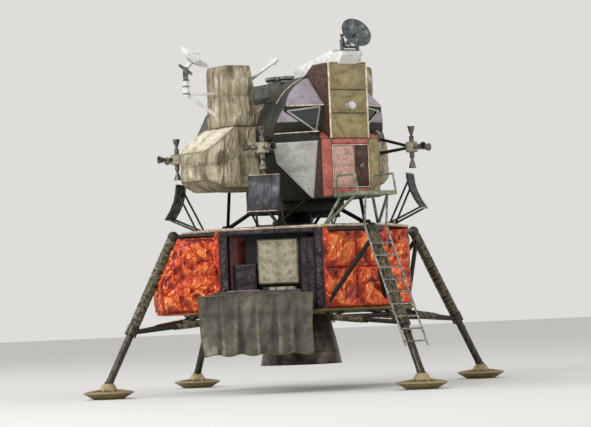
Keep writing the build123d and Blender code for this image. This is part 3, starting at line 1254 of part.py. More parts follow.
def door_frame():
    """Half width and upper edge of the experiment bay's door, and the plane of its corner face."""
    plane = corner_plane(90, 0)
    base = Plane(origin=plane.origin, x_dir=plane.x_dir, z_dir=plane.z_dir)
    return DOOR_BAY_WIDTH / 2 + DOOR_LAP, DOOR_BAY_HEAD + DOOR_HEAD_LAP, base.location


def bay_door():
    """Door of the experiment bay with its hinge tube along its head."""
    half, top, base = door_frame()
    leaf = slab(-half, half, DOOR_BAY_SILL - DOOR_SILL_LAP, top, DOOR_STAND, DOOR_STAND + DOOR_THICK)
    z = top + DOOR_HINGE_RISE
    end = half - DOOR_KNUCKLE_IN
    knuckle = tube((-end, z, DOOR_HINGE_OUT), (end, z, DOOR_HINGE_OUT), 2 * DOOR_PIN)
    web = slab(-end, end, top - DOOR_HEAD_LAP, z, DOOR_HINGE_OUT - DOOR_WEB_HALF,
               DOOR_HINGE_OUT + DOOR_WEB_HALF)
    bore = tube((-half, z, DOOR_HINGE_OUT), (half, z, DOOR_HINGE_OUT), DOOR_PIN)
    return base * (fused([leaf, knuckle, web]) - bore)


def bay_door_hinge():
    """Hinge bar of the experiment bay's door, in a lug at each end."""
    half, top, base = door_frame()
    z = top + DOOR_HINGE_RISE
    outer = half - DOOR_LUG_IN
    inner = outer - DOOR_LUG_WIDTH
    bar = tube((-outer, z, DOOR_HINGE_OUT), (outer, z, DOOR_HINGE_OUT), DOOR_PIN - 2 * PIN_GAP)
    for side in (-1, 1):
        bar = bar + slab(side * inner, side * outer, z - LUG_BEYOND, z + LUG_BEYOND, 0,
                         DOOR_HINGE_OUT + LUG_BEYOND)
    return base * bar


def descent_engine_block():
    """Plain block of the engine head, fixed under the roof of its well."""
    half = ENGINE_BLOCK / 2
    return slab(-half, half, -half, half, GIMBAL_Z + ENGINE_BLOCK_RISE, ENGINE_BAY_TOP)


def bell_profile(extra=0.0):
    """Radius and height points of the descent nozzle's wall."""
    wall = [(THROAT_RADIUS, THROAT_Z), (BELL_WAIST_RADIUS, BELL_WAIST_Z), (BELL_EXIT_RADIUS, BELL_EXIT_Z)]
    return [(r + extra, z) for r, z in wall]


def bell():
    """Descent engine nozzle, a bell with its chamber, hung in the gimbal ring."""
    inner = bell_profile()
    outer = bell_profile(BELL_WALL)
    lift = [(r, 0, z) for r, z in inner]
    lift_out = [(r, 0, z) for r, z in outer]
    edges = [Line(lift[0], lift_out[0]), Line(lift[2], lift_out[2])]
    for k, (r, z) in enumerate((BELL_UPPER_MIDDLE, BELL_LOWER_MIDDLE)):
        edges.append(ThreePointArc(lift[k], (r, 0, z), lift[k + 1]))
        edges.append(ThreePointArc(lift_out[k], (r + BELL_WALL, 0, z), lift_out[k + 1]))
    wall = revolve(make_face([edge.edge() for edge in edges]), Axis.Z)
    chamber_radius = THROAT_RADIUS + CHAMBER_WALL
    chamber = Pos(0, 0, THROAT_Z - 2) * extrude(Circle(chamber_radius), GIMBAL_Z + CHAMBER_RISE - THROAT_Z)
    whole = wall + chamber
    for side in (-1, 1):
        root = (side * PIVOT_ROOT, 0, GIMBAL_Z)
        shoulder = (side * (RING_RADIUS - RING_TUBE / 2 - PIVOT_GAP), 0, GIMBAL_Z)
        whole = whole + tube(root, shoulder, PIVOT_BOSS)
        tip = (side * (RING_RADIUS + PIVOT_PAST), 0, GIMBAL_Z)
        whole = whole + tube(root, tip, 2 * PIVOT_RADIUS - 2 * PIN_GAP)
    return whole


def gimbal_ring():
    """Ring between the engine block's pivots (along Y) and the bell's pivots (along X)."""
    section = Pos(RING_RADIUS, 0) * Rectangle(RING_TUBE, RING_TUBE + RING_FLANGE)
    ring = Pos(0, 0, GIMBAL_Z) * revolve(Plane.XZ * section, Axis.Z)
    for side in (-1, 1):
        inner = (side * (RING_RADIUS - RING_TUBE), 0, GIMBAL_Z)
        outer = (side * (RING_RADIUS + RING_TUBE), 0, GIMBAL_Z)
        ring = ring - tube(inner, outer, 2 * PIVOT_RADIUS)
        tip = (0, side * (RING_RADIUS + RING_PIN_LENGTH), GIMBAL_Z)
        ring = ring + tube((0, side * RING_RADIUS, GIMBAL_Z), tip, 2 * PIVOT_RADIUS - 2 * PIN_GAP)
    return ring


def gimbal_mounts():
    """Brackets from the well's roof down to the ring's outer pivots."""
    sets = []
    for side in (-1, 1):
        y0 = side * (RING_RADIUS + RING_TUBE / 2 + MOUNT_GAP)
        y1 = side * (RING_RADIUS + MOUNT_REACH)
        arm = slab(-MOUNT_HALF, MOUNT_HALF, y0, y1, GIMBAL_Z - MOUNT_HALF, ENGINE_BAY_TOP)
        bore_end = (0, side * (RING_RADIUS + RING_PIN_LENGTH + 1), GIMBAL_Z)
        arm = arm - tube((0, side * RING_RADIUS, GIMBAL_Z), bore_end, 2 * PIVOT_RADIUS)
        sets.append(arm)
    return sets


def landing_radar():
    """Flat landing radar panel under the stage, carried on its tilt shaft."""
    wide = LANDING_PANEL_HALF_X
    deep = LANDING_PANEL_HALF_Y
    top = -LANDING_PANEL_DROP
    panel = slab(-wide, wide, -deep, deep, top - LANDING_PANEL_THICK, top)
    end = LANDING_SHAFT_HALF
    shaft = tube((-end, 0, 0), (end, 0, 0), LANDING_SHAFT_DIAMETER)
    web_x = LANDING_WEB_HALF_X
    web_y = LANDING_WEB_HALF_Y
    web = slab(-web_x, web_x, -web_y, web_y, top - LANDING_WEB_SINK, 0)
    bore = tube((-end - 1, 0, 0), (end + 1, 0, 0), LANDING_PIN)
    return LANDING_RADAR * (fused([panel, shaft, web]) - bore)


def landing_radar_mount():
    """Pin of the landing radar in two lugs under the base shield."""
    end = LANDING_PIN_HALF
    bar = tube((-end, 0, 0), (end, 0, 0), LANDING_PIN - 2 * PIN_GAP)
    for side in (-1, 1):
        bar = bar + slab(side * (end - LANDING_LUG_WIDTH), side * end, -LANDING_LUG_HALF, LANDING_LUG_HALF,
                         -LANDING_LUG_LOW, LANDING_RADAR_DROP)
    return LANDING_RADAR * bar


# Radar and antennas

def dish_arc(radius, depth, drop=0.0):
    """Section of a reflector's face from its vertex to its rim, by an arc close to a parabola."""
    chord = hypot(radius, depth)
    bow = depth * DISH_BOW
    mid = (radius / 2 + bow * depth / chord, depth / 2 - bow * radius / chord)
    return ThreePointArc(*[(r, 0, z - drop) for r, z in ((0.0, 0.0), mid, (radius, depth))])


def dish(radius, depth, wall):
    """A shallow shell opening along +Z with its vertex at the origin."""
    edges = [dish_arc(radius, depth), dish_arc(radius, depth, wall), Line((0, 0, 0), (0, 0, -wall)),
             Line((radius, 0, depth), (radius, 0, depth - wall))]
    return revolve(make_face([edge.edge() for edge in edges]), Axis.Z)


def dish_back(radius, depth):
    """Everything over the back of a reflector, less the gap its neck is bolted with."""
    drop = DISH_WALL + GAP
    edges = [dish_arc(radius, depth, drop), Line((0, 0, -drop), (0, 0, depth)),
             Line((0, 0, depth), (radius, 0, depth)), Line((radius, 0, depth), (radius, 0, depth - drop))]
    return revolve(make_face([edge.edge() for edge in edges]), Axis.Z)


def gimbal_dish(radius, depth, rise, half):
    """Reflector facing +Z with its feed, and the neck it is bolted to with the inner pins along Y."""
    reflector = [Pos(0, 0, rise) * dish(radius, depth, DISH_WALL)]
    reflector.append(Pos(0, 0, rise - DISH_WALL / 2) * extrude(Circle(FEED_ROD_RADIUS), FEED_RISE))
    reflector.append(Pos(0, 0, rise + FEED_RISE - DISH_WALL) * extrude(Circle(FEED_CUP_RADIUS), FEED_CUP_DEPTH))
    neck = [Pos(0, 0, -HEAD_TAIL) * extrude(Circle(HEAD_NECK_RADIUS), rise + HEAD_TAIL - DISH_WALL - 1)]
    for side in (-1, 1):
        neck.append(tube((0, 0, 0), (0, side * (half - HEAD_PIN_SHORT), 0), HEAD_PIN - 2 * PIN_GAP))
    return [fused(reflector), fused(neck) - Pos(0, 0, rise) * dish_back(radius, depth)]


def gimbal_frame(half):
    """Square ring between the fork's shaft along X and the dish's pins along Y."""
    inner = half - HEAD_BAR
    thick = HEAD_RING_HALF_THICK
    ring = slab(-half, half, -half, half, -thick, thick) - slab(-inner, inner, -inner, inner, -thick, thick)
    for side in (-1, 1):
        ring = ring - tube((0, side * (inner - 1), 0), (0, side * (half + 1), 0), HEAD_PIN)
        root = (side * (half - HEAD_PIN_ROOT), 0, 0)
        tip = (side * (half + HEAD_EAR_GAP + HEAD_BAR), 0, 0)
        ring = ring + tube(root, tip, HEAD_PIN - 2 * PIN_GAP)
    return ring


def gimbal_fork(half, drop):
    """Base plate at the bottom of the drop, and the two ears on it that carry the ring's shaft."""
    near = half + HEAD_EAR_GAP
    far = near + HEAD_BAR
    pieces = [slab(-far, far, -HEAD_EAR_HALF, HEAD_EAR_HALF, -drop, -drop + HEAD_BAR)]
    for side in (-1, 1):
        ear = slab(side * near, side * far, -HEAD_EAR_HALF, HEAD_EAR_HALF, -drop + HEAD_BAR + GAP, HEAD_EAR_TOP)
        pieces.append(ear - tube((side * (near - 1), 0, 0), (side * (far + 1), 0, 0), HEAD_PIN))
    return pieces


def radar_dish():
    """Reflector of the rendezvous radar with its feed and neck, at its rest tilt."""
    pieces = gimbal_dish(RADAR_DISH_RADIUS, RADAR_DISH_DEPTH, HEAD_RISE, RADAR_FRAME_HALF)
    return [RADAR_HEAD * piece for piece in pieces]


def radar_yoke():
    """Ring of the rendezvous radar between its fork and its dish."""
    return RADAR_HEAD * gimbal_frame(RADAR_FRAME_HALF)


def radar_pedestal():
    """Support of the radar: a slanted fairing over the cabin roof with a shelf for the fork."""
    top = RADAR_Z - RADAR_DROP
    shelf_y = RADAR_Y - FAIRING_OVERHANG
    foot_z = ROOF_CROWN_Z - FAIRING_SINK
    heel = (NOSE_Y + FAIRING_HEEL[0], BAND_TOP_Z - FAIRING_HEEL[1])
    outline = [(FAIRING_BACK_Y, foot_z), (FAIRING_BACK_Y, FAIRING_BACK_Z), (FAIRING_CREST_Y, FAIRING_CREST_Z),
               (FAIRING_CREST_Y, top), (shelf_y, top), (shelf_y, top - FAIRING_LIP), heel, (CABIN_FRONT_Y, foot_z)]
    body = side_run(outline, -FAIRING_HALF, FAIRING_HALF)
    return trimmed(body, [cabin_run(CABIN_BACK_Y, CABIN_FRONT_Y), nose_block(), roof_fairing()])


def steerable_dish():
    """Reflector of the steerable antenna with its feed and neck, at its rest turn and tilt."""
    pieces = gimbal_dish(STEER_DISH_RADIUS, STEER_DISH_DEPTH, HEAD_RISE, STEER_FRAME_HALF)
    return [STEER_HEAD * piece for piece in pieces]


def steerable_yoke():
    """Ring of the steerable antenna between its fork and its dish."""
    return STEER_HEAD * gimbal_frame(STEER_FRAME_HALF)


def steerable_mast():
    """Mast off the right tank column, with the post that the high-gain antenna's fork stands on."""
    top = STEER_Z - STEER_DROP
    low = top - MAST_HEAD_LENGTH
    root = -COLUMN_OUTER_X + MAST_ROOT_IN
    arm_z = low + MAST_ARM_RISE
    brace_z = low + MAST_BRACE_RISE
    post = Pos(STEER_X, STEER_Y, low) * extrude(Circle(MAST_HEAD_RADIUS), MAST_HEAD_LENGTH)
    arm = tube((root, STEER_Y, arm_z - MAST_SPREAD), (STEER_X, STEER_Y, arm_z), MAST_DIAMETER)
    brace_end = (STEER_X + MAST_HEAD_RADIUS / 2, STEER_Y, brace_z)
    brace = tube((root, STEER_Y, brace_z), brace_end, MAST_BRACE_DIAMETER)
    return fused([post, arm, brace]) - tank_bay(-1, RIGHT_BAY_REACH)


def antenna_forks():
    """Forks of both dishes, each a base plate and two ears."""
    pieces = [RADAR_PLACE * piece for piece in gimbal_fork(RADAR_FRAME_HALF, RADAR_DROP)]
    return pieces + [STEER_PLACE * piece for piece in gimbal_fork(STEER_FRAME_HALF, STEER_DROP)]


def whip_antennas():
    """Short-range antennas: one slanted off the right column, one on the left column, one on the band."""
    masts = []
    for foot, tip in (SLANT_WHIP, LEFT_WHIP, BAND_WHIP):
        run = (Vector(*tip) - Vector(*foot)).normalized()
        cone = Plane(origin=Vector(*tip) - run * WHIP_CONE_LAP, z_dir=run).location * Cone(
            WHIP_CONE_RADIUS, WHIP_DIAMETER / 2, WHIP_CONE_LENGTH, align=(Align.CENTER, Align.CENTER, Align.MIN))
        masts.append(tube(foot, tip, WHIP_DIAMETER) + cone)
    return masts


def tracking_light():
    """Round lamp on the band of the front face, under the radar."""
    body = tube((0, NOSE_Y - LAMP_DEPTH, LAMP_Z), (0, NOSE_Y, LAMP_Z), LAMP_DIAMETER)
    mouth = NOSE_Y - LAMP_DEPTH
    bowl = tube((0, mouth - LAMP_BOWL_DEPTH, LAMP_Z), (0, mouth, LAMP_Z), LAMP_BOWL_DIAMETER)
    return body + bowl


def trimmed(piece, blocks):
    """What is left of a piece outside the blocks."""
    for block in blocks:
        piece = piece - block
    return piece


def seated_on(panels, piece):
    """Fuse a piece to the panel that it touches, and leave the other panels as they are."""
    joined = []
    for panel in panels:
        touching = panel.distance_to(piece) < GAP / 3
        joined.append(panel + piece if touching else panel)
    return joined


def without_chips(shape):
    """The solids of a shape that are larger than a chip left by trimming."""
    return [solid for solid in shape.solids() if solid.volume > CHIP_VOLUME]


def largest(shape):
    """The biggest solid of a shape whose ends inside other pieces were trimmed away."""
    return shape.solids().sort_by(SortBy.VOLUME)[-1]


def save(name, shape):
    """Write one node as its own file."""
    solids = []
    for part in (shape if isinstance(shape, (list, tuple)) else [shape]):
        solids.extend(without_chips(part))
    whole = solids[0] if len(solids) == 1 else Compound(children=solids)
    whole.label = name
    export_step(whole, f"parts/{name}.step")


def main():
    """Build every node of the vehicle and write it."""
    os.makedirs("parts", exist_ok=True)
    barrel = cabin_barrel()
    front = front_face()
    mid = midsection()
    bay_right = tank_bay(-1, RIGHT_BAY_REACH)
    bay_left = tank_bay(1, LEFT_BAY_REACH)
    aft = aft_bay()
    hull = [barrel, front, mid, bay_right, bay_left, aft]
    quads = thruster_quads()
    struts = [largest(trimmed(piece, hull)) for piece in interstage()]
    struts += [largest(trimmed(piece, hull + [quads])) for piece in thruster_booms()]
    nodes = {
        "end_bays": end_bays() + [closed_corner()],
        "tray_corner": tray_corner() + tray_hinge(),
        "door_corner": door_corner() + bay_door_hinge(),
        "deck": deck(),
        "base_shield": seated_on(base_shield(), landing_radar_mount()),
        "primary_struts": four_legs(primary_strut()),
        "footpads": four_legs(footpad()),
        "side_struts": four_legs(side_struts()),
        "leg_trusses": [four_legs(deployment_truss()), four_legs(outrigger())],
        "leg_blanket": leg_blanket(),
        "ladder": ladder(),
        "porch": fused([porch()] + porch_struts()),
        "cabin_barrel": barrel,
        "front_face": fused([front] + forward_hatch_pins()),
        "window_panes": window_panes(),
        "cabin_floor": cabin_floor(),
        "midsection": mid + top_hatch_pin(),
        "roof_fairing": trimmed(roof_fairing(), [barrel]),
        "docking_tunnel": docking_tunnel(),
        "tank_bays": [bay_right, bay_left],
        "aft_bay": aft,
        "gas_spheres": gas_spheres(),
        "ascent_struts": struts + aft_rack(),
        "ascent_engine": ascent_engine(),
        "thruster_quads": quads,
        "plume_deflectors": plume_deflectors(),
        "deflector_struts": deflector_struts(),
        "forward_hatch": forward_hatch(),
        "top_hatch": top_hatch(),
        "equipment_tray": equipment_tray(),
        "tray_packages": tray_packages(),
        "bay_packages": bay_packages(),
        "tray_drape": tray_drape(),
        "bay_door": bay_door(),
        "descent_engine_mount": fused([descent_engine_block()] + gimbal_mounts()),
        "gimbal_ring": gimbal_ring(),
        "descent_bell": bell(),
        "landing_radar": landing_radar(),
        "radar_pedestal": radar_pedestal(),
        "radar_yoke": radar_yoke(),
        "radar_dish": radar_dish(),
        "steerable_mast": steerable_mast(),
        "antenna_forks": antenna_forks(),
        "steerable_yoke": steerable_yoke(),
        "steerable_dish": steerable_dish(),
        "whip_antennas": [largest(trimmed(piece, hull)) for piece in whip_antennas()],
        "tracking_light": tracking_light(),
    }
    for name, shape in nodes.items():
        save(name, shape)


main()
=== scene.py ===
import math

import bmesh
import bpy
import numpy as np
from mathutils import Matrix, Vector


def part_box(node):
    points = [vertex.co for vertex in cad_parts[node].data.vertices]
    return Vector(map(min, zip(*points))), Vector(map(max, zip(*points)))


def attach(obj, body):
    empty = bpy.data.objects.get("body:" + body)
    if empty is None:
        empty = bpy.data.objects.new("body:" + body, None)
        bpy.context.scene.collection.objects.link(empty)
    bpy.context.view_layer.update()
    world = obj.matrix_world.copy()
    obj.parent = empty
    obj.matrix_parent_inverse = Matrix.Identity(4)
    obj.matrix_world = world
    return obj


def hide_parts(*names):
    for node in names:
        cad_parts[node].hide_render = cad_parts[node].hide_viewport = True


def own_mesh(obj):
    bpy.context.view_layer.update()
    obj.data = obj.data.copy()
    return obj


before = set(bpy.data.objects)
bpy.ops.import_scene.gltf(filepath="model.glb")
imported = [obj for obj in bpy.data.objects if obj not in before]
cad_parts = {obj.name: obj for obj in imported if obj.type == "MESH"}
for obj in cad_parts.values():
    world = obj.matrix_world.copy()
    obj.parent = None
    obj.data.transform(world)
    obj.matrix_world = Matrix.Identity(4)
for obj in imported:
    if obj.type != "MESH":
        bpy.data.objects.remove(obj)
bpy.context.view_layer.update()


# End bays of the descent stage. Each main face is closed by loose layers of metallised plastic film, cut a little
# large, taped along its edges and crumpled by hand so that the layers touch in few places.
# Lengths are in millimetres in the frame of the model, and become metres when a mesh is made.

FACE = 2146.0
HALF_FACE = 725.0
INNER_BASE = 1537.0
INNER_DECK = 3079.0
STAGE_CORE = (0, 0, 2300)


def linear(code):
    """Linear colour with alpha of an sRGB hex code."""
    c = np.array([int(code[i:i + 2], 16) for i in (0, 2, 4)]) / 255
    return (*np.where(c <= 0.04045, c / 12.92, ((c + 0.055) / 1.055) ** 2.4).tolist(), 1.0)


def add_node(tree, kind, settings=None, links=None):
    """Add a shader node: lower-case names set its properties, capital names its inputs, and links join outputs to
    them."""
    node = tree.nodes.new(kind)
    for name, value in (settings or {}).items():
        if name == "stops":
            ramp = node.color_ramp
            ramp.elements[0].position = value[0][0]
            ramp.elements[1].position = value[-1][0]
            for place, _ in value[1:-1]:
                ramp.elements.new(place)
            for element, (_, code) in zip(ramp.elements, value):
                element.color = linear(code)
        elif isinstance(name, int) or name[0].isupper():
            node.inputs[name].default_value = value
        else:
            setattr(node, name, value)
    for name, output in (links or {}).items():
        tree.links.new(output, node.inputs[name])
    return node


def lander_finish(name, shades, patch, grit, metallic, roughness, relief, fold_shading=0.0, coat=0.0, stretch=(1, 1, 1)):
    """Surface of one of the vehicle's skins. Its colour runs through the shades, darkest first, over patches `patch`
    mm wide; on a crumpled skin a share of that, its fold weight, comes from the skin's fold value, which paints shade
    in the valleys and highlights on the ridges. A finer noise `grit` mm wide turns the roughness up and down and gives
    a relief that is `relief` mm deep."""
    material = bpy.data.materials.new(name)
    material.use_nodes = True
    tree = material.node_tree
    shader = tree.nodes["Principled BSDF"]
    place = add_node(tree, "ShaderNodeTexCoord")
    mapped = add_node(tree, "ShaderNodeMapping", {"Scale": stretch}, {"Vector": place.outputs["Object"]})
    wide = add_node(tree, "ShaderNodeTexNoise", {"Scale": 1000 / patch, "Detail": 5.0, "Roughness": 0.62},
                    {"Vector": mapped.outputs[0]})
    fine = add_node(tree, "ShaderNodeTexNoise", {"Scale": 1000 / grit, "Detail": 3.0, "Roughness": 0.55},
                    {"Vector": mapped.outputs[0]})
    tone = wide.outputs["Fac"]
    # A crumpled skin's fold value paints shade in its valleys and highlights on its ridges.
    if fold_shading:
        height = add_node(tree, "ShaderNodeAttribute", {"attribute_name": "fold"})
        tone = add_node(tree, "ShaderNodeMix", {"data_type": "FLOAT", 0: fold_shading},
                        {2: wide.outputs["Fac"], 3: height.outputs["Fac"]}).outputs[0]
    codes = shades.split()
    low, high = (0.12, 0.88) if fold_shading else (0.3, 0.7)
    stops = [(low + (high - low) * k / (len(codes) - 1), code) for k, code in enumerate(codes)]
    colour = add_node(tree, "ShaderNodeValToRGB", {"stops": stops}, {"Fac": tone})
    rough = add_node(tree, "ShaderNodeMapRange", {"From Min": 0.3, "From Max": 0.7, "To Min": roughness * 0.75,
                                                  "To Max": min(1.0, roughness * 1.3)}, {"Value": fine.outputs["Fac"]})
    bump = add_node(tree, "ShaderNodeBump", {"Strength": 1.0, "Distance": relief / 1000},
                    {"Height": fine.outputs["Fac"]})
    shader.inputs["Metallic"].default_value = metallic
    shader.inputs["Coat Weight"].default_value = coat
    tree.links.new(colour.outputs["Color"], shader.inputs["Base Color"])
    tree.links.new(rough.outputs["Result"], shader.inputs["Roughness"])
    tree.links.new(bump.outputs["Normal"], shader.inputs["Normal"])
    return material


def cover(material, *nodes):
    """Give CAD nodes their finish."""
    for node in nodes:
        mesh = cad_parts[node].data
        mesh.materials.clear()
        mesh.materials.append(material)


def creases(points, size, seed):
    """Height from -1 to 1 of crumpled film at points in mm. Two sums of six triangle waves, from `size` to a quarter
    of it long, run in random directions and are bent by a slow sine. Where the first passes nought stands a sharp
    ridge, where the second does lies a crease, and the first also tilts the facets between them."""
    waves, ridge_width, crease_width = 6, 0.24, 0.16
    dice = np.random.default_rng(seed)
    bent = points + 0.3 * size * np.sin(points[..., [1, 2, 0]] / (0.7 * size) + dice.uniform(0, 6, 3))
    sums = []
    for _ in range(2):
        total, weight = np.zeros(points.shape[:-1]), 0.0
        for k in range(waves):
            way = dice.normal(size=3)
            length = size * 0.25 ** (k / (waves - 1))
            wave = (bent @ (way / np.linalg.norm(way))) / length + dice.uniform(0, 1)
            total += length * (4 * np.abs(wave - np.floor(wave) - 0.5) - 1)
            weight += length * 0.45
        sums.append(total / weight)
    ridge, crease = np.exp(-np.abs(sums[0]) / ridge_width), np.exp(-np.abs(sums[1]) / crease_width)
    return np.clip(0.42 * sums[0] + 0.9 * ridge - 0.75 * crease, -1, 1)


def facet(corners, step):
    """Grid over a four-cornered facet with cells about `step` wide; a point is the bilinear mean of the corners."""
    a, b, c, d = (np.array(p, float) for p in corners)
    wide = max(np.linalg.norm(b - a), np.linalg.norm(c - d))
    high = max(np.linalg.norm(d - a), np.linalg.norm(c - b))
    u = np.linspace(0, 1, int(wide / step) + 3)[None, :, None]
    v = np.linspace(0, 1, int(high / step) + 3)[:, None, None]
    return (1 - v) * ((1 - u) * a + u * b) + v * ((1 - u) * d + u * c)


def standing(x0, x1, y, z0, z1, step):
    """Upright rectangle across the vehicle, at one place fore and aft."""
    return facet([(x0, y, z0), (x1, y, z0), (x1, y, z1), (x0, y, z1)], step)


def laid_on(grid, centre, rise, puff, crumple, size, seed, sink=2.0, hem=40.0, pillows=(1, 1), upright=1.0):
    """Skin over a surface. The grid moves along its normals, away from `centre`, by a rise, by cushions of height
    `puff` whose plan is |sin u sin v|, and by the creases. All of it fades over a hem to just under the surface,
    so that the skin closes on what carries it; where `upright` is below 1 the creases run longer upwards. Gives the
    points, and a fold value from 0 to 1 for each: the fold's height, lowered where the cushions dip and towards the
    hem, which the finishes turn into painted shade in creases, between cushions and along the hem, and painted
    highlights on the ridges."""
    normal = np.cross(np.gradient(grid, axis=1), np.gradient(grid, axis=0))
    normal /= np.linalg.norm(normal, axis=-1, keepdims=True) + 1e-12
    if ((grid - np.array(centre, float)) * normal).sum() < 0:
        grid = grid[:, ::-1]
        normal = -normal[:, ::-1]
    down = np.concatenate([[0], np.cumsum(np.linalg.norm(np.diff(grid, axis=0), axis=-1).mean(1))])
    over = np.concatenate([[0], np.cumsum(np.linalg.norm(np.diff(grid, axis=1), axis=-1).mean(0))])
    reach = np.minimum(np.minimum(down, down[-1] - down)[:, None], np.minimum(over, over[-1] - over)[None, :])
    fade = np.sqrt(np.clip(reach / hem, 0, 1))
    quilt = (np.abs(np.sin(np.pi * pillows[0] * over / over[-1])) ** 0.4)[None, :]
    quilt = quilt * (np.abs(np.sin(np.pi * pillows[1] * down / down[-1])) ** 0.4)[:, None]
    fold = creases(grid * (1, 1, upright), size, seed)
    lift = np.clip(rise + puff * quilt + crumple * (0.5 + fold) * (0.35 + 0.65 * quilt), 1.0, None)
    lift = lift * fade - sink * (1 - fade)
    return grid + normal * lift[..., None], (0.5 + 0.5 * fold) * (0.4 + 0.6 * quilt) * (0.3 + 0.7 * fade)


def piece(name, grids, material, body="vehicle", smooth=False, closed=False):
    """One object from grids of points in mm, each alone or with its fold heights: quads between neighbouring points.
    It rides on a body and takes the finish it is given. A closed piece has its doubles merged and its
    faces turned outwards."""
    points, fold_shading, quads, start = [], [], [], 0
    for grid in grids:
        grid, fold = grid if isinstance(grid, tuple) else (grid, np.full(grid.shape[:2], 0.5))
        ids = start + np.arange(grid.shape[0] * grid.shape[1]).reshape(grid.shape[:2])
        quads.append(np.stack([ids[:-1, :-1], ids[:-1, 1:], ids[1:, 1:], ids[1:, :-1]], -1).reshape(-1, 4))
        points.append(grid.reshape(-1, 3))
        fold_shading.append(fold.reshape(-1))
        start += ids.size
    points, fold_shading, quads = np.concatenate(points) / 1000, np.concatenate(fold_shading), np.concatenate(quads)
    mesh = bpy.data.meshes.new(name)
    mesh.vertices.add(len(points))
    mesh.vertices.foreach_set("co", points.astype(np.float32).ravel())
    mesh.loops.add(quads.size)
    mesh.loops.foreach_set("vertex_index", quads.astype(np.int32).ravel())
    mesh.polygons.add(len(quads))
    mesh.polygons.foreach_set("loop_start", np.arange(0, quads.size, 4, dtype=np.int32))
    mesh.update(calc_edges=True)
    mesh.attributes.new("fold", "FLOAT", "POINT").data.foreach_set("value", fold_shading.astype(np.float32))
    if closed:
        work = bmesh.new()
        work.from_mesh(mesh)
        bmesh.ops.remove_doubles(work, verts=work.verts, dist=2e-5)
        bmesh.ops.dissolve_degenerate(work, edges=work.edges, dist=1e-5)
        bmesh.ops.recalc_face_normals(work, faces=work.faces)
        work.to_mesh(mesh)
        work.free()
    mesh.polygons.foreach_set("use_smooth", np.full(len(mesh.polygons), smooth))
    mesh.materials.append(material)
    obj = bpy.data.objects.new(name, mesh)
    bpy.context.scene.collection.objects.link(obj)
    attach(obj, body)
    return obj


def quarter_turn(grids, turn):
    """Grids turned about the vehicle's axis by a number of quarter turns."""
    c, s = math.cos(turn * math.pi / 2), math.sin(turn * math.pi / 2)
    spin = np.array([[c, s, 0], [-s, c, 0], [0, 0, 1]])
    return [(g[0] @ spin, g[1]) if isinstance(g, tuple) else g @ spin for g in grids]


# Polyimide film with a metal layer behind it: clear amber on top, so it looks orange where it lies flat. Its fold
# value paints dark red shade in the valleys and near-white highlights on ridges that mirror the light.
amber_film = lander_finish("amber polyimide film", "3F0F07 8B2411 C9431D E46A2D F6A864 FCDDB4", 130, 9, 0.45, 0.30,
                           0.6, fold_shading=0.72, coat=0.3)
cover(amber_film, "end_bays")

for turn, side in enumerate(("front", "right", "aft", "left")):
    wall = quarter_turn([standing(-HALF_FACE, HALF_FACE, -FACE, INNER_BASE, INNER_DECK, 15)], -turn)[0]
    skin = laid_on(wall, STAGE_CORE, 6, 46, 36, 400, 11 + turn, pillows=(2, 2), upright=0.6)
    piece(f"film_{side}_face", [skin], amber_film)

# The open corner bay that carried the surface vehicle shows the side walls of two end bays, in the same film.
front_wall = facet([(HALF_FACE, -FACE, INNER_BASE), (HALF_FACE, -HALF_FACE, INNER_BASE),
                    (HALF_FACE, -HALF_FACE, INNER_DECK), (HALF_FACE, -FACE, INNER_DECK)], 18)
left_wall = standing(HALF_FACE, FACE, -HALF_FACE, INNER_BASE, INNER_DECK, 18)
piece("film_open_bay",
      [laid_on(front_wall, (0, -1400, 2300), 5, 26, 26, 300, 31, pillows=(2, 2)),
       laid_on(left_wall, (1400, 0, 2300), 5, 26, 26, 300, 32, pillows=(2, 2))], amber_film)


# Corner bays. The closed one and the frames of the two open ones have an outer layer of black nickel foil, which
# takes the heat of the thrusters' plumes.

UP = np.array([0, 0, 1.0])
ACROSS_CORNER = math.sqrt(0.5)
CORNER_FACE = (FACE + HALF_FACE) * ACROSS_CORNER
HALF_CORNER = (FACE - HALF_FACE) * ACROSS_CORNER

# Nickel alloy foil oxidised black: dark and dull, with a purple-brown cast; its fold value paints soft silver
# highlights on its ridges.
black_foil = lander_finish("black nickel foil", "0A090B 1B171B 2E262B 4C4147 857A7C", 150, 10, 0.4, 0.42, 0.5,
                           fold_shading=0.7)
cover(black_foil, "tray_corner", "door_corner")


def heading(degrees):
    """Level unit vectors at an angle from +X: outwards, and square to that on the left."""
    a = math.radians(degrees)
    return np.array([math.cos(a), math.sin(a), 0]), np.array([-math.sin(a), math.cos(a), 0])


def on_corner(turn, points):
    """Points given as (along the corner face, height, out from it) put on a corner; turn 0 is the front left one."""
    out, level = heading(-45 + 90 * turn)
    points = np.asarray(points, float)
    return (points[..., :1] * level + (CORNER_FACE + points[..., 2:]) * out) + points[..., 1:2] * UP


def lying(x0, x1, y0, y1, z, step):
    """Rectangle that lies level at a height."""
    return facet([(x0, y0, z), (x1, y0, z), (x1, y1, z), (x0, y1, z)], step)


def corner_skin(turn, x0, x1, z0, z1, rise, puff, crumple, size, seed, pillows=(1, 1), out=0.0, step=16, hem=30.0):
    """A skin over a rectangle of a corner face."""
    return laid_on(on_corner(turn, lying(x0, x1, z0, z1, out, step)), (0, 0, (z0 + z1) / 2), rise, puff, crumple,
                   size, seed, hem=hem, pillows=pillows)


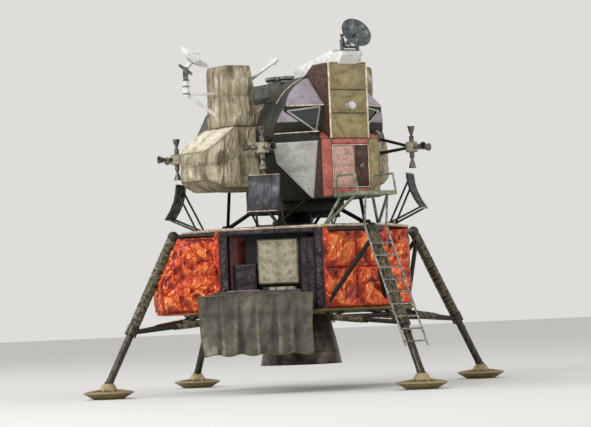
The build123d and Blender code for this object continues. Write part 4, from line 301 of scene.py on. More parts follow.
piece("foil_closed_corner",
      [corner_skin(2, -HALF_CORNER, HALF_CORNER, INNER_BASE, INNER_DECK, 6, 34, 26, 360, 41, (2, 2))], black_foil)
frame_skins = []
for turn, half, head in ((3, 850, 2980), (1, 800, 3000)):
    strips = ((-HALF_CORNER, -half, INNER_BASE), (half, HALF_CORNER, INNER_BASE), (-half, half, head))
    frame_skins += [corner_skin(turn, x0, x1, low, INNER_DECK, 3, 9, 9, 200, 44 + k + 5 * turn, step=12, hem=22)
                    for k, (x0, x1, low) in enumerate(strips)]
piece("foil_bay_frames", frame_skins, black_foil)


# Deck and base shield. The deck is a plain panel with film over it and a pale tape round its edge; the base shield
# is a blanket of many layers under the stage, with an olive outer layer that is scorched towards the engine.

DECK_TOP = 3124.0
BASE = 1477.0


def pairs(points):
    """Neighbouring points of a path, two by two."""
    return list(zip(points[:-1], points[1:]))


def along(path, step):
    """Points about `step` apart on a path of straight runs, with every corner of the path among them."""
    path = np.array(path, float)
    pieces = []
    for a, b in pairs(path):
        n = max(1, round(np.linalg.norm(b - a) / step))
        pieces.append(a + (b - a) * np.linspace(0, 1, n, endpoint=False)[:, None])
    return np.concatenate(pieces + [path[-1:]])


def round_outline(radius, count):
    """Outline of a round bar."""
    a = np.linspace(0, 2 * np.pi, count, endpoint=False)
    return np.stack([radius * np.cos(a), radius * np.sin(a)], -1)


def flat_outline(width, height, edge=None):
    """Outline of a flat bar whose corners are broken by a small chamfer."""
    w, h = width / 2, height / 2
    e = min(w, h) * 0.35 if edge is None else edge
    right = [(w, e - h), (w, h - e), (w - e, h)]
    return np.array(right + [(e - w, h), (-w, h - e), (-w, e - h), (e - w, -h), (w - e, -h)])


def bar(path, outline, up=UP):
    """An outline carried along a path: rings set square to it, and both ends drawn together to a point."""
    path = np.array(path, float)
    way = np.gradient(path, axis=0)
    way /= np.linalg.norm(way, axis=-1, keepdims=True)
    across = np.cross(way, np.array(up, float))
    across /= np.linalg.norm(across, axis=-1, keepdims=True)
    above = np.cross(across, way)
    rings = path[:, None] + outline[None, :, :1] * across[:, None] + outline[None, :, 1:] * above[:, None]
    tips = np.repeat(path[[0, -1], None], len(outline), 1)
    rings = np.concatenate([tips[:1], rings, tips[1:]])
    return np.concatenate([rings, rings[:, :1]], axis=1)


# Aluminised cloth tape, cream from its adhesive, with a little pink that paints the light thrown on it by the film
# beside it.
cream_tape = lander_finish("aluminised edge tape", "8E7F6C B7A78F D9CBB4 EFE6D6", 90, 6, 0.25, 0.45, 0.3)
# Outer cloth of the base shield: olive, matt and marked by soot.
olive_blanket = lander_finish("olive shield blanket", "2B2610 4C4524 6C6438 8E8558", 160, 8, 0.1, 0.6, 0.8, fold_shading=0.5)
# Film on the deck: grey-brown metallised layer, wrinkled and dull.
deck_film = lander_finish("deck film", "2A2523 4A4340 6B625C 948A80", 170, 9, 0.35, 0.45, 0.6, fold_shading=0.6)
cover(deck_film, "deck")
cover(olive_blanket, "base_shield")


def stage_sides(reach, half, z):
    """The eight sides of the descent stage's plan at a height, round from the front left corner."""
    plan = [(half, -reach), (reach, -half), (reach, half), (half, reach), (-half, reach), (-reach, half),
            (-reach, -half), (-half, -reach), (half, -reach)]
    return pairs([(x, y, z) for x, y in plan])


tapes = []
for reach, z, width, height in ((FACE + 3, DECK_TOP - 16, 26, 30), (FACE + 2, INNER_DECK + 4, 18, 12)):
    tapes += [bar(along(ends, 90), flat_outline(width, height)) for ends in stage_sides(reach, HALF_FACE + 1, z)]
piece("deck_edge_tape", tapes, cream_tape, closed=True)
rim_rolls = []
for k, ends in enumerate(stage_sides(FACE, HALF_FACE, BASE + 30)):
    path = along(ends, 14)
    roll = bar(path, round_outline(1.0, 14))
    centre = np.concatenate([path[:1], path, path[-1:]])[:, None]
    grow = np.concatenate([[0], 34 + 9 * creases(path, 160, 60 + k), [0]])[:, None, None]
    rim_rolls.append((centre + (roll - centre) * grow, np.full(roll.shape[:2], 0.6)))
piece("shield_edge_roll", rim_rolls, olive_blanket, smooth=True, closed=True)
deck_skins, shield_skins = [], []
for k in range(4):
    end_top = [(-HALF_FACE + 60, -FACE + 60), (HALF_FACE - 60, -FACE + 60), (640, -640), (-640, -640)]
    corner_top = [(HALF_FACE - 40, -FACE + 60), (FACE - 60, -HALF_FACE + 40), (660, -620), (640, -660)]
    for shape in (end_top, corner_top):
        top = facet([(x, y, DECK_TOP) for x, y in shape], 26)
        deck_skins.append(laid_on(quarter_turn([top], k)[0], (0, 0, 0), 2, 10, 10, 260, 70 + k))
    end_foot = [(-HALF_FACE + 20, -FACE + 30), (HALF_FACE - 20, -FACE + 30), (700, -700), (-700, -700)]
    corner_foot = [(HALF_FACE, -FACE + 40), (FACE - 40, -HALF_FACE), (705, -700), (700, -705)]
    # Over the landing radar, in the aft left corner, the blanket is pulled tight so that the radar can tilt.
    for shape, puff, crumple in ((end_foot, 22, 16), (corner_foot, 5, 3) if k == 1 else (corner_foot, 22, 16)):
        foot = facet([(x, y, BASE) for x, y in shape], 26)
        shield_skins.append(laid_on(quarter_turn([foot], k)[0], (0, 0, 4000), 2, puff, crumple, 300, 80 + k))
piece("deck_film", deck_skins, deck_film)
piece("shield_blanket", shield_skins, olive_blanket)


# Landing gear. The shock struts are anodised tubes wrapped in foil down to the knee, with the bare piston below; the
# thinner struts and the trusses are wrapped all over, and each wrap is taped at its ends.

STRUT_TOP = np.array([0, -2743.0, 3010.0])
ANKLE = np.array([0, -4242.0, 262.0])
SIDE_FOOT = np.array([HALF_FACE - 60, -2268.0, 1372.0])
STRUT_RUN = ANKLE - STRUT_TOP
KNEE = STRUT_TOP + STRUT_RUN * 0.65


def wrapped(start, end, radius, rise, crumple, size, seed, count, step=22):
    """Foil wound round a tube: rings about `step` apart, crumpled, and drawn in at both ends only. Also gives a
    fold value for each point, the fold's height lowered towards the drawn-in ends, which paints shade there and in
    the creases.
    """
    length = np.linalg.norm(end - start)
    way = (end - start) / length
    aside = np.cross(way, (0, 0, 1.0) if abs(way[2]) < 0.9 else (1.0, 0, 0))
    aside /= np.linalg.norm(aside)
    a = np.linspace(0, 2 * np.pi, count + 1)
    ring = radius * (np.cos(a)[:, None] * aside + np.sin(a)[:, None] * np.cross(way, aside))
    down = np.linspace(0, 1, int(length / step) + 3)[:, None]
    grid = (start + down[..., None] * (end - start)) + ring[None]
    shift = grid.mean(axis=1, keepdims=True)
    fold = creases(grid, size, seed)
    fade = np.clip(np.minimum(down, 1 - down) * length / 30, 0, 1) ** 0.5
    lift = (rise + crumple * (0.5 + fold)) * fade - 3 * (1 - fade)
    return shift + (grid - shift) / radius * (radius + lift)[..., None], (0.5 + 0.5 * fold) * (0.3 + 0.7 * fade)


# Dull dark foil on the struts: olive-brown, with metallic grey highlights painted on its ridges by its fold value.
strut_foil = lander_finish("dark strut foil", "15120C 2B271B 464030 6E6650 A79C80", 120, 8, 0.45, 0.42, 0.5,
                           fold_shading=0.65)
# Turned and anodised aluminium: even grey with faint lengthwise tool marks.
strut_metal = lander_finish("anodised strut aluminium", "2A2822 413E35 5F5B4F", 60, 3, 0.75, 0.38, 0.12,
                            stretch=(1, 1, 0.25))
# Honeycomb pad under gold film that dust has dulled.
pad_film = lander_finish("dusty pad film", "6B5B3C 8F7E57 AFA07A CFC4A4", 130, 7, 0.3, 0.5, 0.7, fold_shading=0.4)
cover(strut_metal, "primary_struts")
cover(strut_foil, "side_struts", "leg_trusses")
cover(pad_film, "footpads")

wraps, bands = [], []
down_strut = STRUT_RUN / np.linalg.norm(STRUT_RUN)
for leg in range(4):
    struts = [wrapped(STRUT_TOP + down_strut * 70, KNEE - down_strut * 120, 91, 4, 9, 130, 90 + leg, 24, 18)]
    for side in (-1, 1):
        foot = SIDE_FOOT * (side, 1, 1)
        middle = KNEE + (foot - KNEE) * 0.52
        struts.append(wrapped(middle + (foot - middle) * 0.04, foot + (middle - foot) * 0.08, 56, 3, 6, 100, 94 + leg,
                              16))
    wraps += quarter_turn(struts, leg)
    rings = []
    for shares, radius, stops in (((0.12, 0.34, 0.56), 101, (-16, -12, 12, 16)), ((0.72, 0.97), 78, (-14, 14))):
        for share in shares:
            at = STRUT_TOP + STRUT_RUN * share
            rings.append(bar([at + down_strut * stop for stop in stops], round_outline(radius, 24), up=(1.0, 0, 0)))
    bands += quarter_turn(rings, leg)
piece("strut_wraps", wraps, strut_foil, closed=True)
piece("strut_bands", bands, strut_metal, closed=True)


def turned(profile, centre, axis=UP, count=40):
    """Surface of revolution: a profile of (radius, height) points turned about an axis through the centre."""
    axis = np.array(axis, float) / np.linalg.norm(axis)
    aside = np.cross(axis, (1.0, 0, 0) if abs(axis[0]) < 0.9 else (0, 1.0, 0))
    aside /= np.linalg.norm(aside)
    profile = np.array(profile, float)
    a = np.linspace(0, 2 * np.pi, count + 1)
    ring = np.cos(a)[:, None] * aside + np.sin(a)[:, None] * np.cross(axis, aside)
    return np.array(centre, float) + profile[:, None, :1] * ring[None] + profile[:, None, 1:] * axis


def oval(radius, height, wide, high, count=9):
    """Profile of a rolled bead that runs round at a radius and height."""
    return [(radius + wide * math.cos(a), height + high * math.sin(a)) for a in np.linspace(0, 2 * np.pi, count)]


# Each pad has a rolled rim and radial stiffening beads pressed in its upper skin, and a boot of film at the ankle.
PAD_MIDDLE = ANKLE * (1, 1, 0)
PAD_BOOT = [(88, 292), (112, 280), (126, 250), (150, 210), (185, 178), (205, 166)]
pad_trim = []
for leg in range(4):
    grids = [turned(oval(470, 121, 9, 13), PAD_MIDDLE), turned(PAD_BOOT, PAD_MIDDLE, count=28)]
    for k in range(12):
        out, _ = heading(15 + 30 * k)
        bead = [PAD_MIDDLE + out * r + UP * z for r, z in ((200, 176), (300, 160), (380, 146), (452, 134))]
        grids.append(bar(bead, flat_outline(22, 14)))
    pad_trim += quarter_turn(grids, leg)
piece("pad_trim", pad_trim, pad_film, smooth=True, closed=True)


# Fairing between the crew's right face and its leg: the film there stands out over the outrigger to the strut as one
# loose tent. It stands for the plain solid of the same size.

TENT_LOW, TENT_TOP, TENT_NOSE = 1560.0, 2930.0, 2130.0
TENT_FOOT, TENT_REACH, TENT_SHOULDER = -3065.0, -3105.0, -2669.0
TENT_CORE = (-2600, 0, 2200)


def tent_half(x):
    """Half width of the tent at a place x: widest at the face, narrow at the strut."""
    return 590 + (130 - 590) * (x + FACE) / (TENT_REACH + FACE)


def together(x, y, z):
    """Grid of points from three coordinates, each spread over the others."""
    return np.stack(np.broadcast_arrays(x, y, z), -1)


ridge = along([(-FACE, TENT_LOW), (TENT_FOOT, TENT_LOW), (TENT_REACH, TENT_NOSE), (TENT_SHOULDER, TENT_TOP),
               (-FACE, TENT_TOP)], 15)
x = ridge[:, :1]
over_top = together(x, tent_half(x) * np.linspace(-1, 1, 60), ridge[:, 1:])
tent = [laid_on(over_top, TENT_CORE, 0, 30, 26, 300, 101, sink=0)]
x = np.linspace(-FACE, TENT_REACH, 64)
top = np.interp(-x, [FACE, -TENT_SHOULDER, -TENT_REACH], [TENT_TOP, TENT_TOP, TENT_NOSE])
low = np.interp(-x, [FACE, -TENT_FOOT, -TENT_REACH], [TENT_LOW, TENT_LOW, TENT_NOSE])
v = np.linspace(0, 1, 90)[:, None]
for side in (-1, 1):
    wall = together(x, side * tent_half(x), low + v * (top - low))
    tent.append(laid_on(wall, TENT_CORE, 0, 40, 34, 320, 103 + side, sink=0, pillows=(2, 2)))
blanket = piece("leg_film_tent", tent, amber_film)
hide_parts("leg_blanket")


# Ladder and porch on the front leg: aluminium tube rungs and rails, and a porch of corrugated plate. Both were left
# bare and have a dull grey-green chromate finish.

# Chromate-treated aluminium: grey with a green cast, scuffed lighter where boots go.
porch_metal = lander_finish("chromated aluminium", "4B5445 68715F 879079 A7AD98", 110, 5, 0.35, 0.5, 0.25)
ladder_metal = lander_finish("scuffed ladder tube", "4A4A44 6C6B63 8E8C83 B5B3A8", 70, 4, 0.6, 0.42, 0.2)
cover(ladder_metal, "ladder")
cover(porch_metal, "porch")

PORCH_BACK, PORCH_FRONT, PORCH_TOP, PORCH_HALF = -2122.0, -3022.0, 3690.0, 408
lip_z, lip = PORCH_TOP - 30, flat_outline(18, 78, 5)
treads = [bar([(16 - PORCH_HALF, y, PORCH_TOP + 3), (PORCH_HALF - 16, y, PORCH_TOP + 3)], flat_outline(26, 16, 5))
          for y in np.arange(PORCH_FRONT + 40, PORCH_BACK - 20, 62)]
lips = [bar([(x, PORCH_FRONT + 8, lip_z), (x, PORCH_BACK - 8, lip_z)], lip) for x in (-PORCH_HALF, PORCH_HALF)]
lips.append(bar([(x, PORCH_FRONT - 2, lip_z) for x in (-PORCH_HALF, PORCH_HALF)], lip))
piece("porch_treads", treads + lips, porch_metal, closed=True)


# Descent engine: a niobium and titanium bell with rolled stiffening hoops, hung from the gimbal ring under its block.

# Heat-tinted nozzle alloy: brown-grey with bluish and straw bands from welding.
bell_metal = lander_finish("heat-tinted nozzle alloy", "1E1B1A 36302C 50473F 6A6058", 220, 5, 0.75, 0.4, 0.2)
engine_metal = lander_finish("machined engine block", "4A4844 66635D 838078", 80, 4, 0.7, 0.4, 0.15)
cover(bell_metal, "descent_bell", "ascent_engine")
cover(engine_metal, "gimbal_ring", "descent_engine_mount")

hoops = [turned(oval(radius, z, 11, 11), (0, 0, 0), count=64)
         for z, radius in ((1980, 374), (1500, 549), (1240, 626), (980, 690), (720, 744), (484, 790))]
piece("bell_hoops", hoops, bell_metal, body="descent_bell", smooth=True, closed=True)


# Landing radar under the stage: a flat array in a white-painted frame, with its four waveguide windows.

# White thermal paint, a little yellowed and dusty.
white_paint = lander_finish("white thermal paint", "B9B8B2 D5D4CF E6E6E2 F2F2F0", 240, 6, 0.0, 0.5, 0.15)
cover(white_paint, "landing_radar")

RADAR_MIDDLE = 1080
radar_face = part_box("landing_radar")[0][2] * 1000
windows = []
for x0, y0, x1, y1 in ((-220, -200, -20, 190), (20, -200, 220, -20), (20, 20, 110, 190), (130, 20, 220, 190)):
    plate = lying(RADAR_MIDDLE + x0, RADAR_MIDDLE + x1, RADAR_MIDDLE + y0, RADAR_MIDDLE + y1, radar_face, 30)
    windows.append(laid_on(plate, (RADAR_MIDDLE, RADAR_MIDDLE, 1500), 4, 0, 0, 100, 5, hem=12))
piece("radar_windows", windows, cream_tape, body="landing_radar")


# Equipment bay at the front right corner. Its tray hangs open on its hinge with white cloth packages strapped on it,
# and more equipment stands in the bay behind, a pale container in the middle.

# Black-anodised and purple-brown liner of the bay and of the tray.
bay_liner = lander_finish("black bay liner", "120E10 251B20 3A2A31 54424A", 190, 7, 0.2, 0.5, 0.4)
# Woven glass cloth of the packages: warm grey-beige, matt, with a visible weave.
package_cloth = lander_finish("woven glass cloth", "6F6957 968E78 B4AC95 D0C9B4", 140, 4, 0.0, 0.75, 0.5, fold_shading=0.55)
tray_metal = lander_finish("anodised tray pan", "3B362F 575148 746D61 948C7E", 130, 5, 0.5, 0.45, 0.2)
cover(bay_liner, "equipment_tray", "bay_packages")
cover(package_cloth, "tray_packages")

TRAY_ANGLE = math.radians(78)
HINGE_Z, HINGE_OUT, TRAY_HEIGHT = 1575.0, 60.0, 1180
TRAY_BACK = -10      # where the packages stand on the pan, out from the hinge when shut
# Packages: middle along the hinge and up the tray, then width, height and depth.
PACKAGES = ((-480, 330, 460, 380, 210), (150, 330, 560, 380, 170), (-300, 800, 620, 330, 150),
            (420, 800, 460, 330, 190))


def on_tray(points):
    """Points drawn on the shut tray (along the hinge, up, out) put at its open place."""
    points = np.asarray(points, float)
    up = points[..., 1:2] * math.cos(TRAY_ANGLE) - points[..., 2:] * math.sin(TRAY_ANGLE)
    out = points[..., 1:2] * math.sin(TRAY_ANGLE) + points[..., 2:] * math.cos(TRAY_ANGLE)
    return on_corner(3, np.concatenate([points[..., :1], HINGE_Z + up, HINGE_OUT + out], -1))


def box_skin(place, x0, x1, y0, y1, z0, z1, faces, seed, puff=5, size=190, pillows=(2, 2)):
    """Cloth over faces of a box drawn in a piece's own frame: f is its high z, and l, r, t and u are its sides; b is
    its low z."""
    corners = {"f": [(x0, y0, z1), (x1, y0, z1), (x1, y1, z1), (x0, y1, z1)],
               "b": [(x0, y0, z0), (x0, y1, z0), (x1, y1, z0), (x1, y0, z0)],
               "l": [(x0, y0, z0), (x0, y0, z1), (x0, y1, z1), (x0, y1, z0)],
               "r": [(x1, y0, z0), (x1, y1, z0), (x1, y1, z1), (x1, y0, z1)],
               "t": [(x0, y1, z0), (x0, y1, z1), (x1, y1, z1), (x1, y1, z0)],
               "u": [(x0, y0, z0), (x1, y0, z0), (x1, y0, z1), (x0, y0, z1)]}
    centre = place(np.array([[(x0 + x1) / 2, (y0 + y1) / 2, (z0 + z1) / 2]], float))[0]
    return [laid_on(place(facet(corners[face], 16)), centre, 2, puff, 3, size, seed + k, hem=26, pillows=pillows)
            for k, face in enumerate(faces)]


tray_cloth, tray_straps = [], []
for k, (x, y, w, h, d) in enumerate(PACKAGES):
    low, high, back = y - h / 2, y + h / 2, TRAY_BACK - d
    tray_cloth += box_skin(on_tray, x - w / 2, x + w / 2, low, high, back, TRAY_BACK, "blrtu", 110 + 7 * k, puff=6,
                           size=160, pillows=(1, 1))
    for share in (0.28, 0.72):
        at = x - w / 2 + w * share
        strap = [(at, low - 12, -14), (at, low - 12, back), (at, low + 20, back - 11),
                 (at, high - 20, back - 11), (at, high + 12, back), (at, high + 12, -14)]
        tray_straps.append(bar(on_tray(strap), flat_outline(4, 38, 1), up=(ACROSS_CORNER, -ACROSS_CORNER, 0)))
piece("tray_package_cloth", tray_cloth, package_cloth, body="tray")
piece("tray_straps", tray_straps, olive_blanket, body="tray", closed=True)

# Boxes in the bay, the container first: from and to along the face, from and to in height, and how far out.
BAY_BOXES = ((-310.0, 470.0, 2038.0, 2886.0, -178.0), (-800.0, -360.0, 1620.0, 2430.0, -190.0),
             (520.0, 810.0, 1660.0, 2900.0, -186.0), (-240.0, 420.0, 1600.0, 1980.0, -200.0))
BOX_BACK, FRAME_OUT = -400, -172


def in_bay(points):
    """Points drawn on the front right corner face (along, height, out)."""
    return on_corner(3, points)


container, *others = [box_skin(in_bay, x0, x1, z0, z1, BOX_BACK, front, "flrtu", 140 + 7 * k)
                      for k, (x0, x1, z0, z1, front) in enumerate(BAY_BOXES)]
piece("bay_container_cloth", container, package_cloth)
piece("bay_box_foil", sum(others, []), black_foil)
container_trim = [bar(in_bay([(x, z, -174), (x, z, -164)]), round_outline(16, 10))
                  for x in (-200, 80, 400) for z in (2130, 2815)]
container_trim += [bar(in_bay([(x, 2060, FRAME_OUT), (x, 2875, FRAME_OUT)]), flat_outline(20, 10, 3),
                       up=(ACROSS_CORNER, ACROSS_CORNER, 0)) for x in (-302, 462)]
container_trim += [bar(in_bay([(-302, z, FRAME_OUT), (462, z, FRAME_OUT)]), flat_outline(10, 20, 3))
                   for z in (2056, 2878)]
piece("bay_container_frame", container_trim, tray_metal, closed=True)

# Insulation blanket of the bay's opening, which folded down with the tray and hangs from its outer edge: one sheet of
# layers quilted together, 2.18 m wide, dropped under its own weight by cloth simulation.
drape_cloth = lander_finish("grey quilted blanket", "1B1A16 2E2D27 444238 625F51 9A9583", 150, 6, 0.05, 0.7, 0.8,
                            fold_shading=0.8)
DRAPE_WIDTH, DRAPE_DROP = 2180.0, 1120.0
DRAPE_COLUMNS, DRAPE_ROWS = 132, 66
FALL_FRAMES = 24
drape_out = HINGE_OUT + TRAY_HEIGHT * math.sin(TRAY_ANGLE) + 30 * math.cos(TRAY_ANGLE)
drape_top = HINGE_Z + TRAY_HEIGHT * math.cos(TRAY_ANGLE) + 26
s = np.linspace(-1, 1, DRAPE_COLUMNS)[None, :]
t = np.linspace(0, 1, DRAPE_ROWS)[:, None]
bend = (10 + 48 * t) * np.sin(13.5 * s + 0.7 + 0.9 * t) + (3 + 22 * t) * np.sin(29 * s + 2.0 - 1.4 * t)
level = DRAPE_WIDTH / 2 * s * (1 - 0.07 * t) + 22 * t * np.sin(4 * t + 3 * s)
fallen = drape_top - DRAPE_DROP * t * (1 - 0.035 * np.sin(6.5 * s + 0.4) ** 2)
hang = np.stack([level, fallen, drape_out + 48 + bend], -1)
drape = piece("tray_blanket", [on_corner(3, hang)], drape_cloth, body="tray", smooth=True)
held = drape.vertex_groups.new(name="held")
held.add([k for k in range(DRAPE_COLUMNS) if k % 22 < 3 or k > DRAPE_COLUMNS - 3], 1.0, "REPLACE")
fall = drape.modifiers.new("fall", "CLOTH")
for name, value in (("vertex_group_mass", "held"), ("quality", 8), ("mass", 0.5), ("bending_stiffness", 2.0),
                    ("tension_stiffness", 120), ("compression_stiffness", 120)):
    setattr(fall.settings, name, value)
fall.settings.effector_weights.gravity = 0.5
fall.point_cache.frame_start, fall.point_cache.frame_end = 1, FALL_FRAMES
for frame_number in range(1, FALL_FRAMES + 1):
    bpy.context.scene.frame_set(frame_number)
hung = bpy.data.meshes.new_from_object(drape.evaluated_get(bpy.context.evaluated_depsgraph_get()))
drape.modifiers.clear()
drape.data = hung
bpy.context.scene.frame_set(1)
rest = np.zeros(len(drape.data.vertices) * 3, np.float32)
drape.data.vertices.foreach_get("co", rest)
rest = rest.reshape(-1, 3).astype(float) * 1000
stitched = np.abs(np.sin(np.pi * 3.5 * s)) ** 0.3 * np.abs(np.sin(np.pi * 3 * t)) ** 0.3
wrinkle = creases(rest.reshape(DRAPE_ROWS, DRAPE_COLUMNS, 3) * (1, 1, 0.7), 330, 150)
stand = -(rest[:, 0] + rest[:, 1]).reshape(DRAPE_ROWS, DRAPE_COLUMNS)
stand -= stand.mean(axis=1, keepdims=True)
stand = np.clip(stand / (40 + 60 * t), -1, 1)
rest += (5 * stitched + 12 * wrinkle).reshape(-1, 1) * np.array([-ACROSS_CORNER, -ACROSS_CORNER, 0])
drape.data.vertices.foreach_set("co", (rest / 1000).astype(np.float32).ravel())
# The blanket's tone is painted from its shape: darker in the stitched hollows, in the wrinkles' valleys and where the
# pleats lie back, as painted shade, lighter on what stands out, as painted highlight, and lighter towards the bottom
# of its end by the right face.
pale_low_corner = 0.45 * np.exp(-((s + 1) / 0.3) ** 2) * t ** 2
tone = 0.06 + 0.2 * stitched + 0.26 * (0.5 + 0.5 * wrinkle) + 0.46 * (0.5 + 0.5 * stand) + pale_low_corner
drape.data.attributes["fold"].data.foreach_set("value", np.clip(tone, 0, 1).ravel().astype(np.float32))
drape.data.update()
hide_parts("tray_drape")
rest = rest.reshape(DRAPE_ROWS, DRAPE_COLUMNS, 3)
border = np.concatenate([rest[0], rest[1:, -1], rest[-1, -2::-1], rest[-2:0:-1, 0], rest[:1, 0]])
hem = piece("tray_blanket_hem", [bar(border, round_outline(9, 8), up=(0.6, 0.8, 0.1))],
            olive_blanket, body="tray", smooth=True, closed=True)
for soft in (drape, hem):
    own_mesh(soft)


# Experiment bay door at the aft left corner: a foil-covered panel with a quilted outer layer and two lift handles.

cover(black_foil, "bay_door")

DOOR_OUT = 43.0
door = corner_skin(1, -815, 815, 1582, 2926, 3, 16, 11, 260, 160, (4, 3), out=DOOR_OUT, step=17, hem=40)
piece("door_foil", [door], black_foil, body="bay_door")
grips = [bar(on_corner(1, [(x - 90, 1660, 44), (x - 84, 1660, 96), (x + 84, 1660, 96), (x + 90, 1660, 44)]),
             round_outline(11, 10)) for x in (-480, 480)]
piece("door_grips", grips, ladder_metal, body="bay_door", smooth=True, closed=True)


# Crew cabin. The pressure shell is hidden by thin micrometeoroid panels that stand off it on pegs: nearly black on
# the sides, lavender-grey over the windows, light grey on the lower cheeks, partly as painted light from the ground,
# and olive-tan on the middle band, whose sides are painted dark brown as shade.

# Dark oxide paint of the hull: olive-black with rubbed places.
hull_black = lander_finish("dark hull paint", "12120D 212119 343327 4E4B3A", 210, 7, 0.25, 0.5, 0.35, fold_shading=0.3)
# Anodised panels over the windows: grey with a lavender cast.
brow_grey = lander_finish("lavender-grey brow panel", "7B737B 978E97 B0A7B0 CBC3CA", 260, 8, 0.3, 0.42, 0.3,
                          fold_shading=0.4)
# Clear-anodised aluminium; on the cheeks its light grey partly paints the light thrown up on them from the ground.
cheek_grey = lander_finish("light grey cheek panel", "83827B A09F98 B9B8B1 D2D1CB", 240, 8, 0.3, 0.45, 0.3, fold_shading=0.4)
# Olive-tan thermal paint of the band.
band_tan = lander_finish("olive-tan band panel", "5D5134 7D7049 998B61 B8AB82", 190, 8, 0.1, 0.5, 0.4, fold_shading=0.45)
# Dark brown painted shade on the sides of the band, on the sides of the hatch block and over the latch half of the
# hatch.
brown_painted_shade = lander_finish("brown painted shade", "1E130D 372318 533426 74503D", 170, 8, 0.25, 0.5, 0.5, fold_shading=0.5)
# Red oxide tape round the hatch, and the pale film on the hatch itself.
hatch_red = lander_finish("red hatch surround", "7C3A31 A4544A C06C60 D9948A", 150, 7, 0.15, 0.5, 0.4, fold_shading=0.5)
hatch_pale = lander_finish("pale hatch film", "94695D B48B7E CDA99C E2C8BD", 170, 7, 0.15, 0.5, 0.4, fold_shading=0.5)
cover(hull_black, "cabin_barrel", "front_face", "midsection", "roof_fairing")
cover(hatch_pale, "forward_hatch")
cover(ladder_metal, "cabin_floor")

CABIN_R, CABIN_Z = 1240.0, 4790.0
CABIN_CORE, CHEEK_CORE, HATCH_CORE = (0, -900, CABIN_Z), (0, -900, 4400), (0, -1500, 4200)
SIDE_FRONT, SIDE_BACK = -1196, -694
FLANKS = ((1240, 4780, 1150, 4335), (1150, 4325, 905, 3980), (905, 3970, 660, 3625))
AFT, FORE = (0, 1.0, 0), (0, -1.0, 0)


def sided(side, corners, step):
    """Facet given for the crew's left side, put on either side."""
    return facet([(side * x, y, z) for x, y, z in corners], step)


side_panels = []
for k, (start, end) in enumerate(((2, 34), (35, 62), (63, 117), (118, 145), (146, 178))):
    a = np.radians(np.linspace(start, end, 40))
    y = np.linspace(SIDE_FRONT, SIDE_BACK, 30)[:, None]
    shell = together(CABIN_R * np.cos(a), y, CABIN_Z + CABIN_R * np.sin(a))
    side_panels.append(laid_on(shell, CABIN_CORE, 6, 5, 4, 240, 170 + k, hem=14))
for side in (-1, 1):
    for k, (x0, z0, x1, z1) in enumerate(FLANKS):
        flank = sided(side, [(x0, SIDE_FRONT, z0), (x0, SIDE_BACK, z0), (x1, SIDE_BACK, z1), (x1, SIDE_FRONT, z1)], 18)
        side_panels.append(laid_on(flank, CHEEK_CORE, 5, 5, 4, 240, 180 + k, hem=14))
piece("cabin_side_panels", side_panels, hull_black)

BAND_HALF, NOSE = 430.0, -2110.0
BAND_TOP, BROW_LOW, CHEEK_TOP = 6180.0, 5400.0, 4880.0
RIM_Y = -1202      # nearest to the cabin's front rim that a panel lies
ACROSS = np.linspace(0, 1, 44)[None, :]
# Three points on each slanted plane of the front face, on the crew's left.
BROW_PLANE = ((BAND_HALF, -1930, BROW_LOW), (CABIN_R, -1500, BROW_LOW), (BAND_HALF, -1430, BROW_LOW + 500))
CHEEK_PLANE = ((640, -2050, CHEEK_TOP), (CABIN_R, -1290, CHEEK_TOP), (640, -1752, 3507))
WINDOW_PLANE = ((BAND_HALF, -1905, BROW_LOW), (CABIN_R, -1475, BROW_LOW), (BAND_HALF, -1765, CHEEK_TOP))


def plane_y(side, points, x, z):
    """Where the plane through three points, put on one side, lies fore and aft at x and z."""
    a, b, c = (np.array(p, float) * (side, 1, 1) for p in points)
    n = np.cross(b - a, c - a)
    return a[1] - (n[0] * (x - a[0]) + n[2] * (z - a[2])) / n[1]


def side_wall(x, lead, back, z):
    """Upright side wall at x, from `lead` behind the nose plane to `back`."""
    return together(x, NOSE + lead + (back - NOSE - lead) * ACROSS, z)


brows, cheeks, band_sides = [], [], []
for side in (-1, 1):
    z = np.linspace(BROW_LOW + 2, 5945, 40)[:, None]
    wide = np.sqrt(CABIN_R ** 2 - (z - CABIN_Z) ** 2)
    x = side * (BAND_HALF + (wide - BAND_HALF) * ACROSS)
    brow = together(x, np.minimum(plane_y(side, BROW_PLANE, x, z), RIM_Y), z)
    brows.append(laid_on(brow, CABIN_CORE, 7, 6, 5, 300, 190 + side, hem=16))
    z = np.linspace(3630, 4712, 56)[:, None]
    wide = np.interp(z, [3620, 4330, 4790], [660, 1150, 1240])
    x = side * (642 + (wide - 642) * ACROSS)
    cheek = together(x, np.minimum(plane_y(side, CHEEK_PLANE, x, z), RIM_Y), z)
    cheeks.append(laid_on(cheek, CHEEK_CORE, 6, 7, 6, 320, 195 + side, hem=18, pillows=(1, 2)))
    # The band's sides are painted dark brown as shade.
    z = np.linspace(BROW_LOW, BAND_TOP - 6, 44)[:, None]
    back = np.minimum(-1930 + (z - BROW_LOW), np.where(z > 5970, -1560 + (BAND_TOP - z) * 1.7, -1210))
    band_sides.append(laid_on(side_wall(side * BAND_HALF, 3, back, z), (0, -1700, 5700), 3, 3, 4, 200, 200 + side,
                              hem=14))
    z = np.linspace(4760, BROW_LOW, 40)[:, None]
    back = np.interp(z, [4740, 4880, 5400], [-2090, -1790, -1935])
    band_sides.append(laid_on(side_wall(side * BAND_HALF, 3, back, z), (0, -1900, 5000), 3, 3, 4, 200, 202 + side,
                              hem=14))
    z = np.linspace(5085, BROW_LOW - 8, 24)[:, None]
    wide = np.sqrt(CABIN_R ** 2 - (z - CABIN_Z) ** 2) - 8
    inner = np.interp(z, [5085, 5300], [790, 1095])
    x = side * (inner + (wide - inner) * ACROSS)
    brows.append(laid_on(together(x, plane_y(side, WINDOW_PLANE, x, z), z), CABIN_CORE, 4, 4, 4, 300, 193 + side,
                         hem=16))
